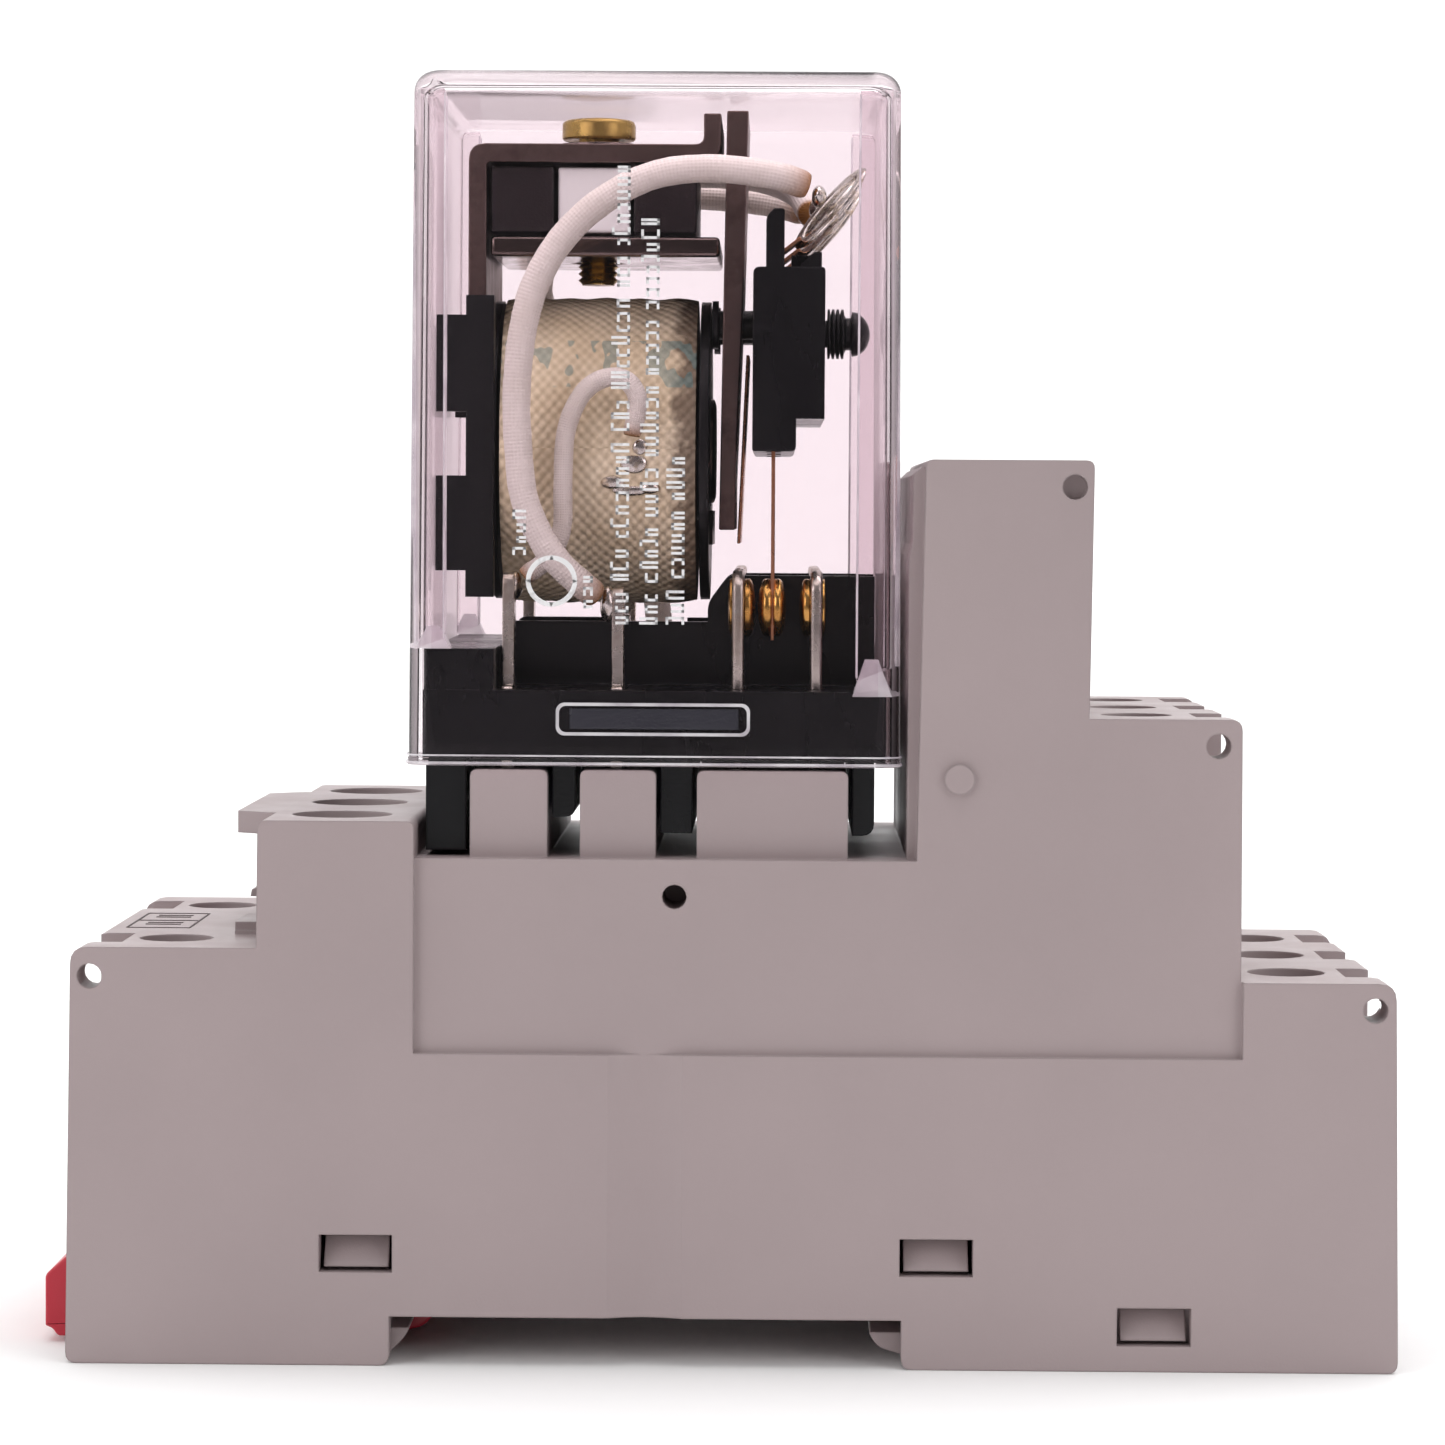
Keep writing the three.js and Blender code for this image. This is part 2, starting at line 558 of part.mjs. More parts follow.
// The frame: back plate, top plate and the upturned lip at the end of the top plate.
function yoke() {
  const thick = 1.35;
  const plate = prism('y', outline([
    [-19.4, 57.0], [-18.1, 57.0], [-18.1, 85.25, 0.3], [-1.25, 85.25, 1.5], [-1.25, 88.8],
    [-1.25 - thick + 0.1, 88.8], [-1.25 - thick + 0.1, 85.25 + thick, 0.6], [-19.4, 85.25 + thick, 1.2],
  ]), [-frameHalfWidth, frameHalfWidth]);
  const coreHole = bar('x', 2.75, [-21, -17], [0, coilAxisZ], 20);
  const screwHole = bar('z', 1.85, [84, 88], [screwAxisX, 0], 16);
  return cut(plate, [coreHole, screwHole]);
}

function lowerPlate() {
  const plate = block([-17.8, -1.3], [-frameHalfWidth, frameHalfWidth], [78.5, 79.95]);
  return plate.subtract(bar('z', 1.85, [77, 81], [screwAxisX, 0], 16));
}

const magnet = (x) => block(x, [-8.6, 8.6], [80.25, 84.95]);

const spacer = () => block(around(screwAxisX, 2.6), [-8.2, 8.2], [80.25, 84.95])
  .subtract(bar('z', 1.85, [80, 86], [screwAxisX, 0], 16));

const washer = () => bar('z', 3.1, [86.9, 87.25], [screwAxisX, 0], 16)
  .subtract(bar('z', 1.85, [86, 88], [screwAxisX, 0], 16));

function frameScrew() {
  const head = turned('z', [
    [0, 76.9], [1.5, 76.9], [1.5, 87.55], [2.8, 87.55], [2.8, 88.6], [2.4, 89.1], [0, 89.1],
  ], [screwAxisX, 0], 16);
  return head.subtract(block(around(screwAxisX, 4), [-0.4, 0.4], [88.3, 90]));
}

// ---------------------------------------------------------------- relay: armature and leads

// The rocking plate, leaning with its lower end against the core's face.
function armature() {
  const plate = prism('y', outline([
    [-0.83, 89.0], [-1.25, 58.9], [-0.1, 58.9], [-0.1, 62.5], [0.42, 76.0], [0.72, 89.0],
  ]), [-frameHalfWidth, frameHalfWidth]);
  const pegHoles = [-5, 5].map((y) => bar('x', 1.35, [-3, 3], [y, 73.8], 12));
  return cut(plate, pegHoles);
}

const shim = () => strip([[0.16, 57.9], [0.75, 71.6]], 0.24, [-6, 6]);

// The moulding that carries the springs; its pegs pass through the armature.
function carrier() {
  const body = prism('y', outline([
    [1.15, 66.8], [6.25, 66.8], [6.25, 77.5, 0.3], [1.15, 77.5, 0.5],
  ]), [-15.2, 15.2]);
  const foot = prism('y', outline([
    [1.15, 64.5, 0.2], [4.25, 64.5, 0.4], [4.25, 67.5], [1.15, 67.5],
  ]), [-15.2, 15.2]);
  const fingers = [-14.6, 14.6].map((y) => prism('y', outline([
    [2.05, 77], [3.35, 77], [3.35, 81.6, 0.2], [2.6, 81.6, 0.1], [2.05, 81.0, 0.3],
  ]), around(y, 0.6)));
  const cap = block([3.85, 6.0], [-14, 14], [77.3, 78.6]);
  const pegs = [-5, 5].map((y) => joined([
    bar('x', 1.05, [-1.7, 1.3], [y, 73.8], 12),
    bar('x', 1.75, [-1.85, -1.4], [y, 73.8], 16),
  ]));
  const slots = poleRows.map((y) => block([2.15, 3.2], around(y, 2.3), [60, 80]));
  const tabRoom = poleRows.map((y) => prism('y', outline([
    [2.2, 76.6], [3.2, 76.6], [6.6, 79.6], [6.6, 82], [2.2, 80.4],
  ]), around(y, 2.3)));
  const screwHole = bar('x', 1.3, [4.4, 8], [0, 73.4], 12);
  return cut(joined([body, foot, ...fingers, cap, ...pegs]), [...slots, ...tabRoom, screwHole]);
}

// The ribbed stud that holds the carrier, set in its outer face.
const carrierStud = () => turned('x', [
  [0, 4.7], [1.0, 4.7], [1.0, 6.55], [1.85, 6.55], [1.85, 7.6], [1.3, 7.9], [0, 7.9],
], [0, 73.4], 12);

// Each outer pole's lead runs from its spring's tab, over the coil, to the common post.
// The far one swings out a little more. Points are [X, Y, Z].
const nearPoleLead = [
  [4.9, -13.6, 83.3], [2.4, -14.3, 84.0], [-2.05, -14.6, 84.4], [-5.95, -14.6, 83.9],
  [-9.5, -14.6, 82.1], [-12.3, -14.6, 79.5], [-14.15, -14.6, 76.4], [-15.15, -14.6, 72.8],
  [-15.55, -14.6, 68.4], [-15.4, -14.6, 64.5], [-15.0, -14.6, 61.2], [-13.95, -14.6, 58.6],
  [-12.6, -14.5, 56.6], [-10.9, -14.1, 55.0], [-9.9, -13.5, 54.2],
];

const farPoleLead = [
  [4.9, 13.6, 83.3], [2.4, 14.3, 84.0], [-2.05, 14.6, 84.5], [-6.6, 14.6, 84.4],
  [-10.9, 14.6, 83.1], [-14.1, 14.6, 80.8], [-16.1, 14.6, 77.6], [-17.1, 14.6, 73.6],
  [-17.4, 14.6, 69.0], [-17.2, 14.6, 64.7], [-16.7, 14.6, 61.0], [-15.4, 14.6, 58.2],
  [-13.6, 14.5, 56.2], [-11.4, 14.1, 54.8], [-9.9, 13.5, 54.2],
];

// The middle pole's lead passes behind the frame and the coil, and comes back under the coil.
const middleLead = [
  [5.3, 2.6, 82.4], [5.15, 5.2, 82.9], [4.2, 8.4, 84.4], [1.6, 11.0, 85.6], [-2.0, 11.7, 86.0],
  [-6.0, 11.6, 85.8], [-10.0, 11.6, 84.3], [-13.3, 11.6, 81.6], [-15.3, 11.7, 78.3],
  [-14.9, 12.0, 75.3], [-12.4, 12.3, 72.6], [-9.0, 12.45, 70.6], [-7.2, 12.45, 68.0],
  [-6.6, 12.45, 64.0], [-6.6, 12.3, 60.0], [-6.4, 11.2, 55.0], [-6.0, 8.6, 51.6],
  [-5.9, 5.4, 50.2], [-6.2, 2.8, 50.4], [-6.75, 1.2, 50.9],
];

const nearCoilLead = [
  [-7.45, -12.15, 65.6], [-7.05, -12.4, 68.2], [-8.0, -12.4, 69.6], [-9.6, -12.4, 69.6],
  [-11.1, -12.4, 68.4], [-12.15, -12.4, 65.8], [-12.35, -12.4, 62.0], [-12.4, -12.4, 59.0],
  [-13.3, -12.4, 56.9], [-15.1, -12.4, 55.5],
];

const farCoilLead = [
  [-10.6, 12.2, 65.4], [-10.9, 12.35, 67.4], [-12.0, 12.35, 68.4], [-13.1, 12.35, 67.2],
  [-13.5, 12.35, 64.0], [-13.6, 12.35, 60.0], [-14.0, 12.35, 57.4], [-15.1, 12.4, 55.5],
];

// ---------------------------------------------------------------- assembly

function relayParts() {
  const [nearRow, , farRow] = poleRows;
  const parts = [
    piece('cover', coverShell(), clearPlastic),
    piece('relay_base', relayBase(), blackPlastic),
    piece('bobbin', bobbin(), blackPlastic),
    piece('winding', winding(), windingTape),
    piece('core', core(), frameSteel),
    piece('yoke', yoke(), frameSteel),
    piece('lower_plate', lowerPlate(), ferrite),
    piece('magnet_left', magnet([-17.8, -13.3]), ferrite),
    piece('magnet_right', magnet([-7.5, -3.0]), ferrite),
    piece('spacer_block', spacer(), whitePlastic),
    piece('frame_washer', washer(), platedSteel),
    piece('frame_screw', frameScrew(), brass),
    piece('coil_post_1', solderPost(coilX, nearRow, 55.8), platedSteel),
    piece('coil_post_2', solderPost(coilX, farRow, 55.8), platedSteel),
    piece('common_lead_1', lead(nearPoleLead, leadRadius, 28), leadSleeve),
    piece('common_lead_2', lead(middleLead, leadRadius, 44), leadSleeve),
    piece('common_lead_3', lead(farPoleLead, leadRadius, 28), leadSleeve),
    piece('coil_lead_1', lead(nearCoilLead, coilLeadRadius, 20), leadSleeve),
    piece('coil_lead_2', lead(farCoilLead, coilLeadRadius, 18), leadSleeve),
  ];
  poleRows.forEach((y, i) => {
    const postTop = y === 0 ? 52.6 : 54.8;
    parts.push(piece(`common_post_${i + 1}`, solderPost(commonX, y, postTop), platedSteel));
    parts.push(piece(`closed_contact_${i + 1}`, fixedContact(closedX, y, 1), platedSteel));
    parts.push(piece(`open_contact_${i + 1}`, fixedContact(openX, y, -1), platedSteel));
  });
  return parts;
}

function armatureParts() {
  return [
    piece('armature', armature(), frameSteel),
    piece('armature_shim', shim(), springCopper),
    piece('contact_carrier', carrier(), blackPlastic),
    piece('carrier_stud', carrierStud(), blackPlastic),
    ...poleRows.map((y, i) => piece(`moving_contact_${i + 1}`, movingSpring(y), springCopper)),
  ];
}

const armatureGroup = new THREE.Group();
armatureGroup.add(...armatureParts());

const relay = new THREE.Group();
relay.add(...relayParts(), armatureGroup);

const relayOnSocket = new THREE.Group();
relayOnSocket.add(...socketParts(), relay);
relayOnSocket.position.x = socketMiddleX;

const part = new THREE.Group();
part.add(relayOnSocket);

export default part;
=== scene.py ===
"""Looks for the plug-in relay in its rail socket.

Lengths in the tables below are millimetres, with X counted from the middle of the socket.
to_frame() turns them into the frame's metres.
"""

import math

import bmesh
import bpy
import numpy as np
from mathutils import Matrix, Vector


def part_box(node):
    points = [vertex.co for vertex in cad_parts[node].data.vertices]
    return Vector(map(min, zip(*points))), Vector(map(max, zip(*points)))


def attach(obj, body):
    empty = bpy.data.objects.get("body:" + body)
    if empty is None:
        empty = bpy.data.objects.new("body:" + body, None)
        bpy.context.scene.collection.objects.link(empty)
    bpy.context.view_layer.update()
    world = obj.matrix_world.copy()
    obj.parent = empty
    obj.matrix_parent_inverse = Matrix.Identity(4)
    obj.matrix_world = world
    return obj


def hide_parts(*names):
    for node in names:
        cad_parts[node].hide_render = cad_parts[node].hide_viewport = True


SOCKET_MIDDLE = 1.31
POLE_ROWS = (-12.4, 0.0, 12.4)
COIL_AXIS_Z = 64.7
COIL_RADIUS = 11.2
SCREW_AXIS_X = -10.4
CONTACT_Z = 53.4
STRIP_HALF = 0.425

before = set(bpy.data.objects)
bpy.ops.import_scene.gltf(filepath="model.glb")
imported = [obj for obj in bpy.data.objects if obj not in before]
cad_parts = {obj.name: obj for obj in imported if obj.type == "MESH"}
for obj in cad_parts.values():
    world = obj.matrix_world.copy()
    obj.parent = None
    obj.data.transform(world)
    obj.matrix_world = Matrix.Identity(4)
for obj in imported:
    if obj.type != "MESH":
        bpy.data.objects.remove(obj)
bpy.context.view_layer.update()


# ---------------------------------------------------------------- frame and mesh helpers

def to_frame(points):
    """Points in millimetres from the socket's middle, as metres in the frame."""
    shifted = np.asarray(points, float) + np.array([SOCKET_MIDDLE, 0.0, 0.0])
    return shifted * 0.001


def add_piece(name, mesh, material, body, stands_for=()):
    """A new object that rides on a body and stands for some of the frame's nodes."""
    made = bpy.data.objects.new(name, mesh)
    bpy.context.scene.collection.objects.link(made)
    mesh.materials.clear()
    for each in material if isinstance(material, (list, tuple)) else [material]:
        mesh.materials.append(each)
    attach(made, body)
    if stands_for:
        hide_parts(*stands_for)
    return made


def mesh_from(name, vertices_mm, faces, smooth=True):
    """A mesh from points in millimetres and lists of corners."""
    mesh = bpy.data.meshes.new(name)
    mesh.from_pydata(to_frame(vertices_mm).tolist(), [], faces)
    mesh.update()
    if smooth:
        mesh.shade_smooth()
    return mesh


def flat_box(low, high):
    """A box between its low and high corners."""
    points = [[(low, high)[i][0], (low, high)[j][1], (low, high)[k][2]]
              for i in (0, 1) for j in (0, 1) for k in (0, 1)]
    return points, [(0, 1, 3, 2), (4, 6, 7, 5), (0, 4, 5, 1), (2, 3, 7, 6), (0, 2, 6, 4), (1, 5, 7, 3)]


def outward(mesh):
    """Turns every face of a closed mesh to face outwards."""
    work = bmesh.new()
    work.from_mesh(mesh)
    bmesh.ops.recalc_face_normals(work, faces=work.faces)
    work.to_mesh(mesh)
    work.free()
    return mesh


def rings_to_faces(rings, around, closed_ends=True, looped=False):
    """Faces between successive rings of points, with a cap on each end, or joined in a loop."""
    ring = np.arange(rings if looped else rings - 1)[:, None]
    here, there = ring * around, (ring + 1) % rings * around
    i = np.arange(around)
    j = (i + 1) % around
    faces = np.stack([here + i, here + j, there + j, there + i], 2).reshape(-1, 4).tolist()
    if closed_ends and not looped:
        faces.append(tuple(reversed(range(around))))
        faces.append(tuple(range((rings - 1) * around, rings * around)))
    return faces


def turned(axis, profile, centre, sides=48):
    """A turned solid: [radius, height] points about an axis through a centre, from axis to axis.

    The first and last points lie on the axis; every other point makes one ring of the solid:
    (radius cos a, radius sin a, height), for a round the axis."""
    radius, height = np.array([p for p in profile if p[0] > 1e-6], float).T[:, :, None]
    angles = np.linspace(0, 2 * np.pi, sides, endpoint=False)
    u, v = radius * np.cos(angles) + centre[0], radius * np.sin(angles) + centre[1]
    level = np.repeat(height, sides, 1)
    points = np.stack([u, v, level] if axis == "z" else [level, u, v], 2).reshape(-1, 3)
    return points, rings_to_faces(len(radius), sides)


def gather(parts):
    """Several (points, faces) pairs as one."""
    points, faces, start = [], [], 0
    for some_points, some_faces in parts:
        points.append(np.asarray(some_points, float))
        faces.extend([tuple(i + start for i in face) for face in some_faces])
        start += len(some_points)
    return np.concatenate(points), faces


def crisp(mesh, degrees=35):
    """Smooth shading with hard edges where faces meet at more than an angle."""
    mesh.shade_smooth()
    mesh.set_sharp_from_angle(angle=math.radians(degrees))
    return mesh


def smooth_copy(node):
    """A copy of a node's mesh: curved strips shade smoothly, and broad faces and corners stay flat."""
    work = bmesh.new()
    work.from_mesh(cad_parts[node].data)
    bmesh.ops.remove_doubles(work, verts=work.verts, dist=2e-6)
    work.normal_update()
    for face in work.faces:
        face.smooth = False
    for edge in work.edges:
        turn = math.degrees(edge.calc_face_angle(0)) if edge.is_manifold else 90.0
        broad = edge.is_manifold and any(abs(face.normal.y) > 0.9999 for face in edge.link_faces)
        edge.smooth = turn < (8.0 if broad else 33.0)
        if edge.smooth and turn > 0.5:
            for face in edge.link_faces:
                face.smooth = face.smooth or face.calc_area() < 25e-6
    mesh = bpy.data.meshes.new(node)
    work.to_mesh(mesh)
    work.free()
    return mesh


def even(made):
    """Shading that follows the large faces, so small ones next to them don't tint them."""
    made.modifiers.new("even_shading", "WEIGHTED_NORMAL").keep_sharp = True
    return made


def smooth_piece(node, material, body):
    """A moulding too busy to round by its edges: its material softens them instead."""
    return even(add_piece(f"{node}_finished", smooth_copy(node), material, body, [node]))


def round_off(work, width, segments, degrees, clamped):
    """Rounds the edges where a solid's faces meet at more than an angle."""
    sharp = [e for e in work.edges if e.is_manifold and e.calc_face_angle(0) > math.radians(degrees)]
    bmesh.ops.bevel(work, geom=sharp, offset=width * 0.001, offset_type="OFFSET", segments=segments,
                    profile=0.5, affect="EDGES", clamp_overlap=clamped)


def rounded_copy(node, width, segments):
    """A copy of a node's mesh with its flat faces merged and its edges rounded by a width in mm."""
    work = bmesh.new()
    work.from_mesh(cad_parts[node].data)
    bmesh.ops.remove_doubles(work, verts=work.verts, dist=2e-6)
    bmesh.ops.dissolve_limit(work, angle_limit=0.01, verts=work.verts, edges=work.edges)
    bmesh.ops.recalc_face_normals(work, faces=work.faces)
    round_off(work, width, segments, 28, False)
    mesh = bpy.data.meshes.new(node)
    work.to_mesh(mesh)
    work.free()
    return mesh


def rounded_piece(node, material, body, width=0.15, segments=2):
    """A node shown with rounded edges and a finished material."""
    mesh = crisp(rounded_copy(node, width, segments), 50)
    return even(add_piece(f"{node}_finished", mesh, material, body, [node]))


def carve(mesh, cutters):
    """A mesh with some boxes taken out; each box is its low and high corner in millimetres."""
    body = bpy.data.objects.new("carving", mesh)
    bpy.context.scene.collection.objects.link(body)
    tools = []
    for low, high in cutters:
        block = mesh_from("tool", *flat_box(low, high), smooth=False)
        tool = bpy.data.objects.new("tool", outward(block))
        bpy.context.scene.collection.objects.link(tool)
        tools.append(tool)
        step = body.modifiers.new("cut", "BOOLEAN")
        step.operation = "DIFFERENCE"
        step.solver = "EXACT"
        step.object = tool
    bpy.context.view_layer.update()
    seen = body.evaluated_get(bpy.context.evaluated_depsgraph_get())
    carved = bpy.data.meshes.new_from_object(seen)
    for each in [body, *tools]:
        bpy.data.objects.remove(each)
    return carved


def smooth_path(points, steps):
    """A smooth curve through points: each stretch is the centripetal blend of its four neighbours."""
    points = np.asarray(points, float)
    ends = np.vstack([2 * points[0] - points[1], points, 2 * points[-1] - points[-2]])
    found = []
    for i in range(1, len(ends) - 2):
        a, b, c, d = ends[i - 1:i + 3]
        t = np.linspace(0, 1, steps, endpoint=False)[:, None]
        found.append(0.5 * (2 * b + (c - a) * t + (2 * a - 5 * b + 4 * c - d) * t ** 2
                            + (3 * b - a - 3 * c + d) * t ** 3))
    return np.vstack(found + [ends[-2:-1]])


def swept(path, radii, sides=20):
    """A round tube along a path with a radius at each point; its frame turns as little as it can."""
    path = np.asarray(path, float)
    along = np.gradient(path, axis=0)
    along /= np.linalg.norm(along, axis=1, keepdims=True)
    across = np.cross(along[0], [0.0, 0.31, 0.95])
    across /= np.linalg.norm(across)
    angles = np.linspace(0, 2 * np.pi, sides, endpoint=False)
    rings = []
    for point, forward, radius in zip(path, along, radii):
        across = across - forward * np.dot(across, forward)
        across /= np.linalg.norm(across)
        third = np.cross(forward, across)
        round_it = np.cos(angles)[:, None] * across + np.sin(angles)[:, None] * third
        rings.append(point + radius * round_it)
    return np.concatenate(rings), rings_to_faces(len(path), sides)


# ---------------------------------------------------------------- material helpers

class Nodes:
    """A material's nodes, written as calls: each call adds one node and returns an output."""

    def __init__(self, name, colour, roughness, **sockets):
        self.material = bpy.data.materials.new(name)
        self.material.use_nodes = True
        self.tree = self.material.node_tree
        self.shader = self.tree.nodes["Principled BSDF"]
        self.set("Base Color", (*colour, 1.0))
        self.set("Roughness", roughness)
        for socket, value in sockets.items():
            self.set(socket.replace("_", " "), value)
        self.material.diffuse_color = (*colour, 1.0)

    def set(self, socket, value):
        """A plain value, or another node's output, on one of the shader's sockets."""
        if isinstance(value, bpy.types.NodeSocket):
            self.tree.links.new(value, self.shader.inputs[socket])
        else:
            self.shader.inputs[socket].default_value = value

    def add(self, kind, output, inputs=None, **settings):
        """A node with its settings and inputs set; the inputs are values or other outputs."""
        node = self.tree.nodes.new(kind)
        for key, value in settings.items():
            setattr(node, key, value)
        for key, value in (inputs or {}).items():
            if isinstance(value, bpy.types.NodeSocket):
                self.tree.links.new(value, node.inputs[key])
            else:
                node.inputs[key].default_value = value
        return node.outputs[output]

    def place(self, scale=(1.0, 1.0, 1.0)):
        """Where a point is on the object, in metres, stretched by a scale."""
        where = self.add("ShaderNodeTexCoord", "Object")
        return self.add("ShaderNodeMapping", "Vector", {"Vector": where, "Scale": scale})

    def noise(self, place, scale, detail=3.0, rough=0.5):
        """Smooth noise, with a number of lumps to the metre."""
        return self.add("ShaderNodeTexNoise", "Fac",
                        {"Vector": place, "Scale": scale, "Detail": detail, "Roughness": rough})

    def math(self, operation, a, b=0.0):
        """Arithmetic on one or two values."""
        return self.add("ShaderNodeMath", 0, {0: a, 1: b}, operation=operation)

    def ramp(self, value, low, high, to_low=0.0, to_high=1.0):
        """A value carried from one range to another, and held at its ends."""
        return self.add("ShaderNodeMapRange", "Result", {
            "Value": value, "From Min": low, "From Max": high, "To Min": to_low, "To Max": to_high})

    def mix(self, share, first, second):
        """A colour between two, by a share. The colour sockets of a mix node are 6 and 7."""
        first, second = ((*c, 1.0) if isinstance(c, tuple) else c for c in (first, second))
        return self.add("ShaderNodeMix", 2, {0: share, 6: first, 7: second}, data_type="RGBA")

    def bump(self, height, distance, strength=1.0, under=None):
        """A normal tilted by a height, in metres, over another normal if one is given."""
        inputs = {"Height": height, "Distance": distance, "Strength": strength}
        if under is not None:
            inputs["Normal"] = under
        return self.add("ShaderNodeBump", "Normal", inputs)

    def haze(self, clear, colour, low, high, most):
        """A shader that turns from clear to milky where it is seen at a shallow angle."""
        facing = self.add("ShaderNodeLayerWeight", "Facing", {"Blend": 0.5})
        share = self.ramp(facing, low, high, 0.0, most)
        front = self.add("ShaderNodeBsdfDiffuse", "BSDF", {"Color": (*colour, 1.0)})
        through = self.add("ShaderNodeBsdfTranslucent", "BSDF", {"Color": (*colour, 1.0)})
        milk = self.add("ShaderNodeMixShader", 0, {0: 0.5, 1: front, 2: through})
        return self.add("ShaderNodeMixShader", 0, {0: share, 1: clear, 2: milk})

    def split(self, place):
        """The three parts of a point."""
        node = self.tree.nodes.new("ShaderNodeSeparateXYZ")
        self.tree.links.new(place, node.inputs[0])
        return node.outputs[0], node.outputs[1], node.outputs[2]


def moulded(name, colour, roughness, grain=0.00002, cloud=0.05, edge=0.00022, **sockets):
    """Moulded plastic: fine spark-eroded grain, soft edges, faint clouds and handling marks."""
    look = Nodes(name, colour, roughness, **sockets)
    place = look.place()
    clouds = look.noise(place, 45.0, 4.0)
    dark = tuple(c * (1 - cloud * 2) for c in colour)
    light = tuple(min(1.0, c * (1 + cloud)) for c in colour)
    look.set("Base Color", look.mix(look.ramp(clouds, 0.35, 0.65), dark, light))
    smears = look.noise(look.place((1.0, 1.0, 0.3)), 160.0, 5.0, 0.6)
    look.set("Roughness", look.ramp(smears, 0.35, 0.7, roughness - 0.07, roughness + 0.09))
    fine = look.noise(place, 5200.0, 2.0)
    soft = look.add("ShaderNodeBevel", "Normal", {"Radius": edge}, samples=6)
    look.set("Normal", look.bump(fine, grain, 0.6, under=soft))
    return look.material


def sheet_metal(name, colour, roughness, stretch=(1.0, 1.0, 12.0), stain=None, scratch=0.000008):
    """Worked metal: drawn lines along the strip, uneven shine and a stain where it has oxidised."""
    look = Nodes(name, colour, roughness, Metallic=1.0)
    lines = look.noise(look.place(stretch), 900.0, 4.0, 0.6)
    patches = look.noise(look.place(), 260.0, 5.0, 0.65)
    other = stain or tuple(c * 0.7 for c in colour)
    look.set("Base Color", look.mix(look.ramp(patches, 0.48, 0.7), colour, other))
    look.set("Roughness", look.ramp(patches, 0.3, 0.75, roughness - 0.08, roughness + 0.16))
    look.set("Normal", look.bump(lines, scratch, 0.5))
    return look.material


def woven_tape():
    """Woven insulating tape round the coil: warp along X, weft round the axis, a faint printed band."""
    look = Nodes("woven coil tape", (0.62, 0.53, 0.36), 0.8)
    x, y, z = look.split(look.place())
    drop = look.math("SUBTRACT", z, COIL_AXIS_Z * 0.001)
    turn = look.math("MULTIPLY", look.math("ARCTAN2", drop, y), 0.0113)  # metres round the drum
    warp = look.math("SINE", look.math("MULTIPLY", x, 7600.0))  # a thread every 0.83 mm
    weft = look.math("SINE", look.math("MULTIPLY", turn, 6600.0))
    weave = look.math("MULTIPLY", warp, weft)
    knots = look.ramp(weave, -1.0, 1.0)
    patches = look.noise(look.place(), 130.0, 4.0)
    cloth = look.mix(look.ramp(patches, 0.35, 0.68), (0.92, 0.82, 0.61), (0.74, 0.62, 0.42))
    shaded = look.mix(look.math("MULTIPLY", knots, 0.42), cloth, (0.34, 0.26, 0.15))
    # darker towards both ends of the drum: the tape turns dark brown there, over a border made ragged
    # by noise
    edge = look.math("ABSOLUTE", look.math("ADD", x, 0.00943))
    border_noise = look.noise(look.place(), 700.0, 3.0)
    ragged = look.math("ADD", edge, look.ramp(border_noise, 0.3, 0.7, -0.0006, 0.0006))
    dark_end_share = look.ramp(ragged, 0.0059, 0.0068, 0.0, 0.8)
    dark_ended = look.mix(dark_end_share, shaded, (0.10, 0.06, 0.035))
    band = look.math("LESS_THAN", look.math("ABSOLUTE", look.math("SUBTRACT", z, 0.0708)), 0.0017)
    marks = look.math("GREATER_THAN", look.noise(look.place((1.0, 0.3, 0.6)), 900.0, 1.0), 0.53)
    ink = look.math("MULTIPLY", look.math("MULTIPLY", band, marks), 0.5)
    look.set("Base Color", look.mix(ink, dark_ended, (0.10, 0.26, 0.26)))
    look.set("Normal", look.bump(weave, 0.00009, 0.8))
    return look.material


def braided_sleeve():
    """Braided sleeve: two sets of fine strands cross round the lead, browned by flux at its ends."""
    look = Nodes("braided lead sleeve", (0.74, 0.68, 0.63), 0.6)
    u, v, _ = look.split(look.add("ShaderNodeUVMap", "UV", uv_map="along"))
    one = look.math("SINE", look.math("MULTIPLY", look.math("ADD", u, v), 75.4))
    two = look.math("SINE", look.math("MULTIPLY", look.math("SUBTRACT", u, v), 75.4))
    braid = look.math("MULTIPLY", one, two)
    soiled = look.noise(look.place(), 220.0, 4.0)
    cloth = look.mix(look.ramp(soiled, 0.4, 0.7), (0.76, 0.70, 0.66), (0.66, 0.60, 0.55))
    shaded = look.mix(look.ramp(braid, -1.0, 1.0, 0.12, 0.0), cloth, (0.45, 0.38, 0.30))
    end = look.add("ShaderNodeAttribute", "Fac", attribute_name="flux")
    look.set("Base Color", look.mix(end, shaded, (0.30, 0.13, 0.03)))
    look.set("Roughness", look.ramp(end, 0.0, 1.0, 0.62, 0.25))
    look.set("Normal", look.bump(braid, 0.00004, 0.5))
    return look.material


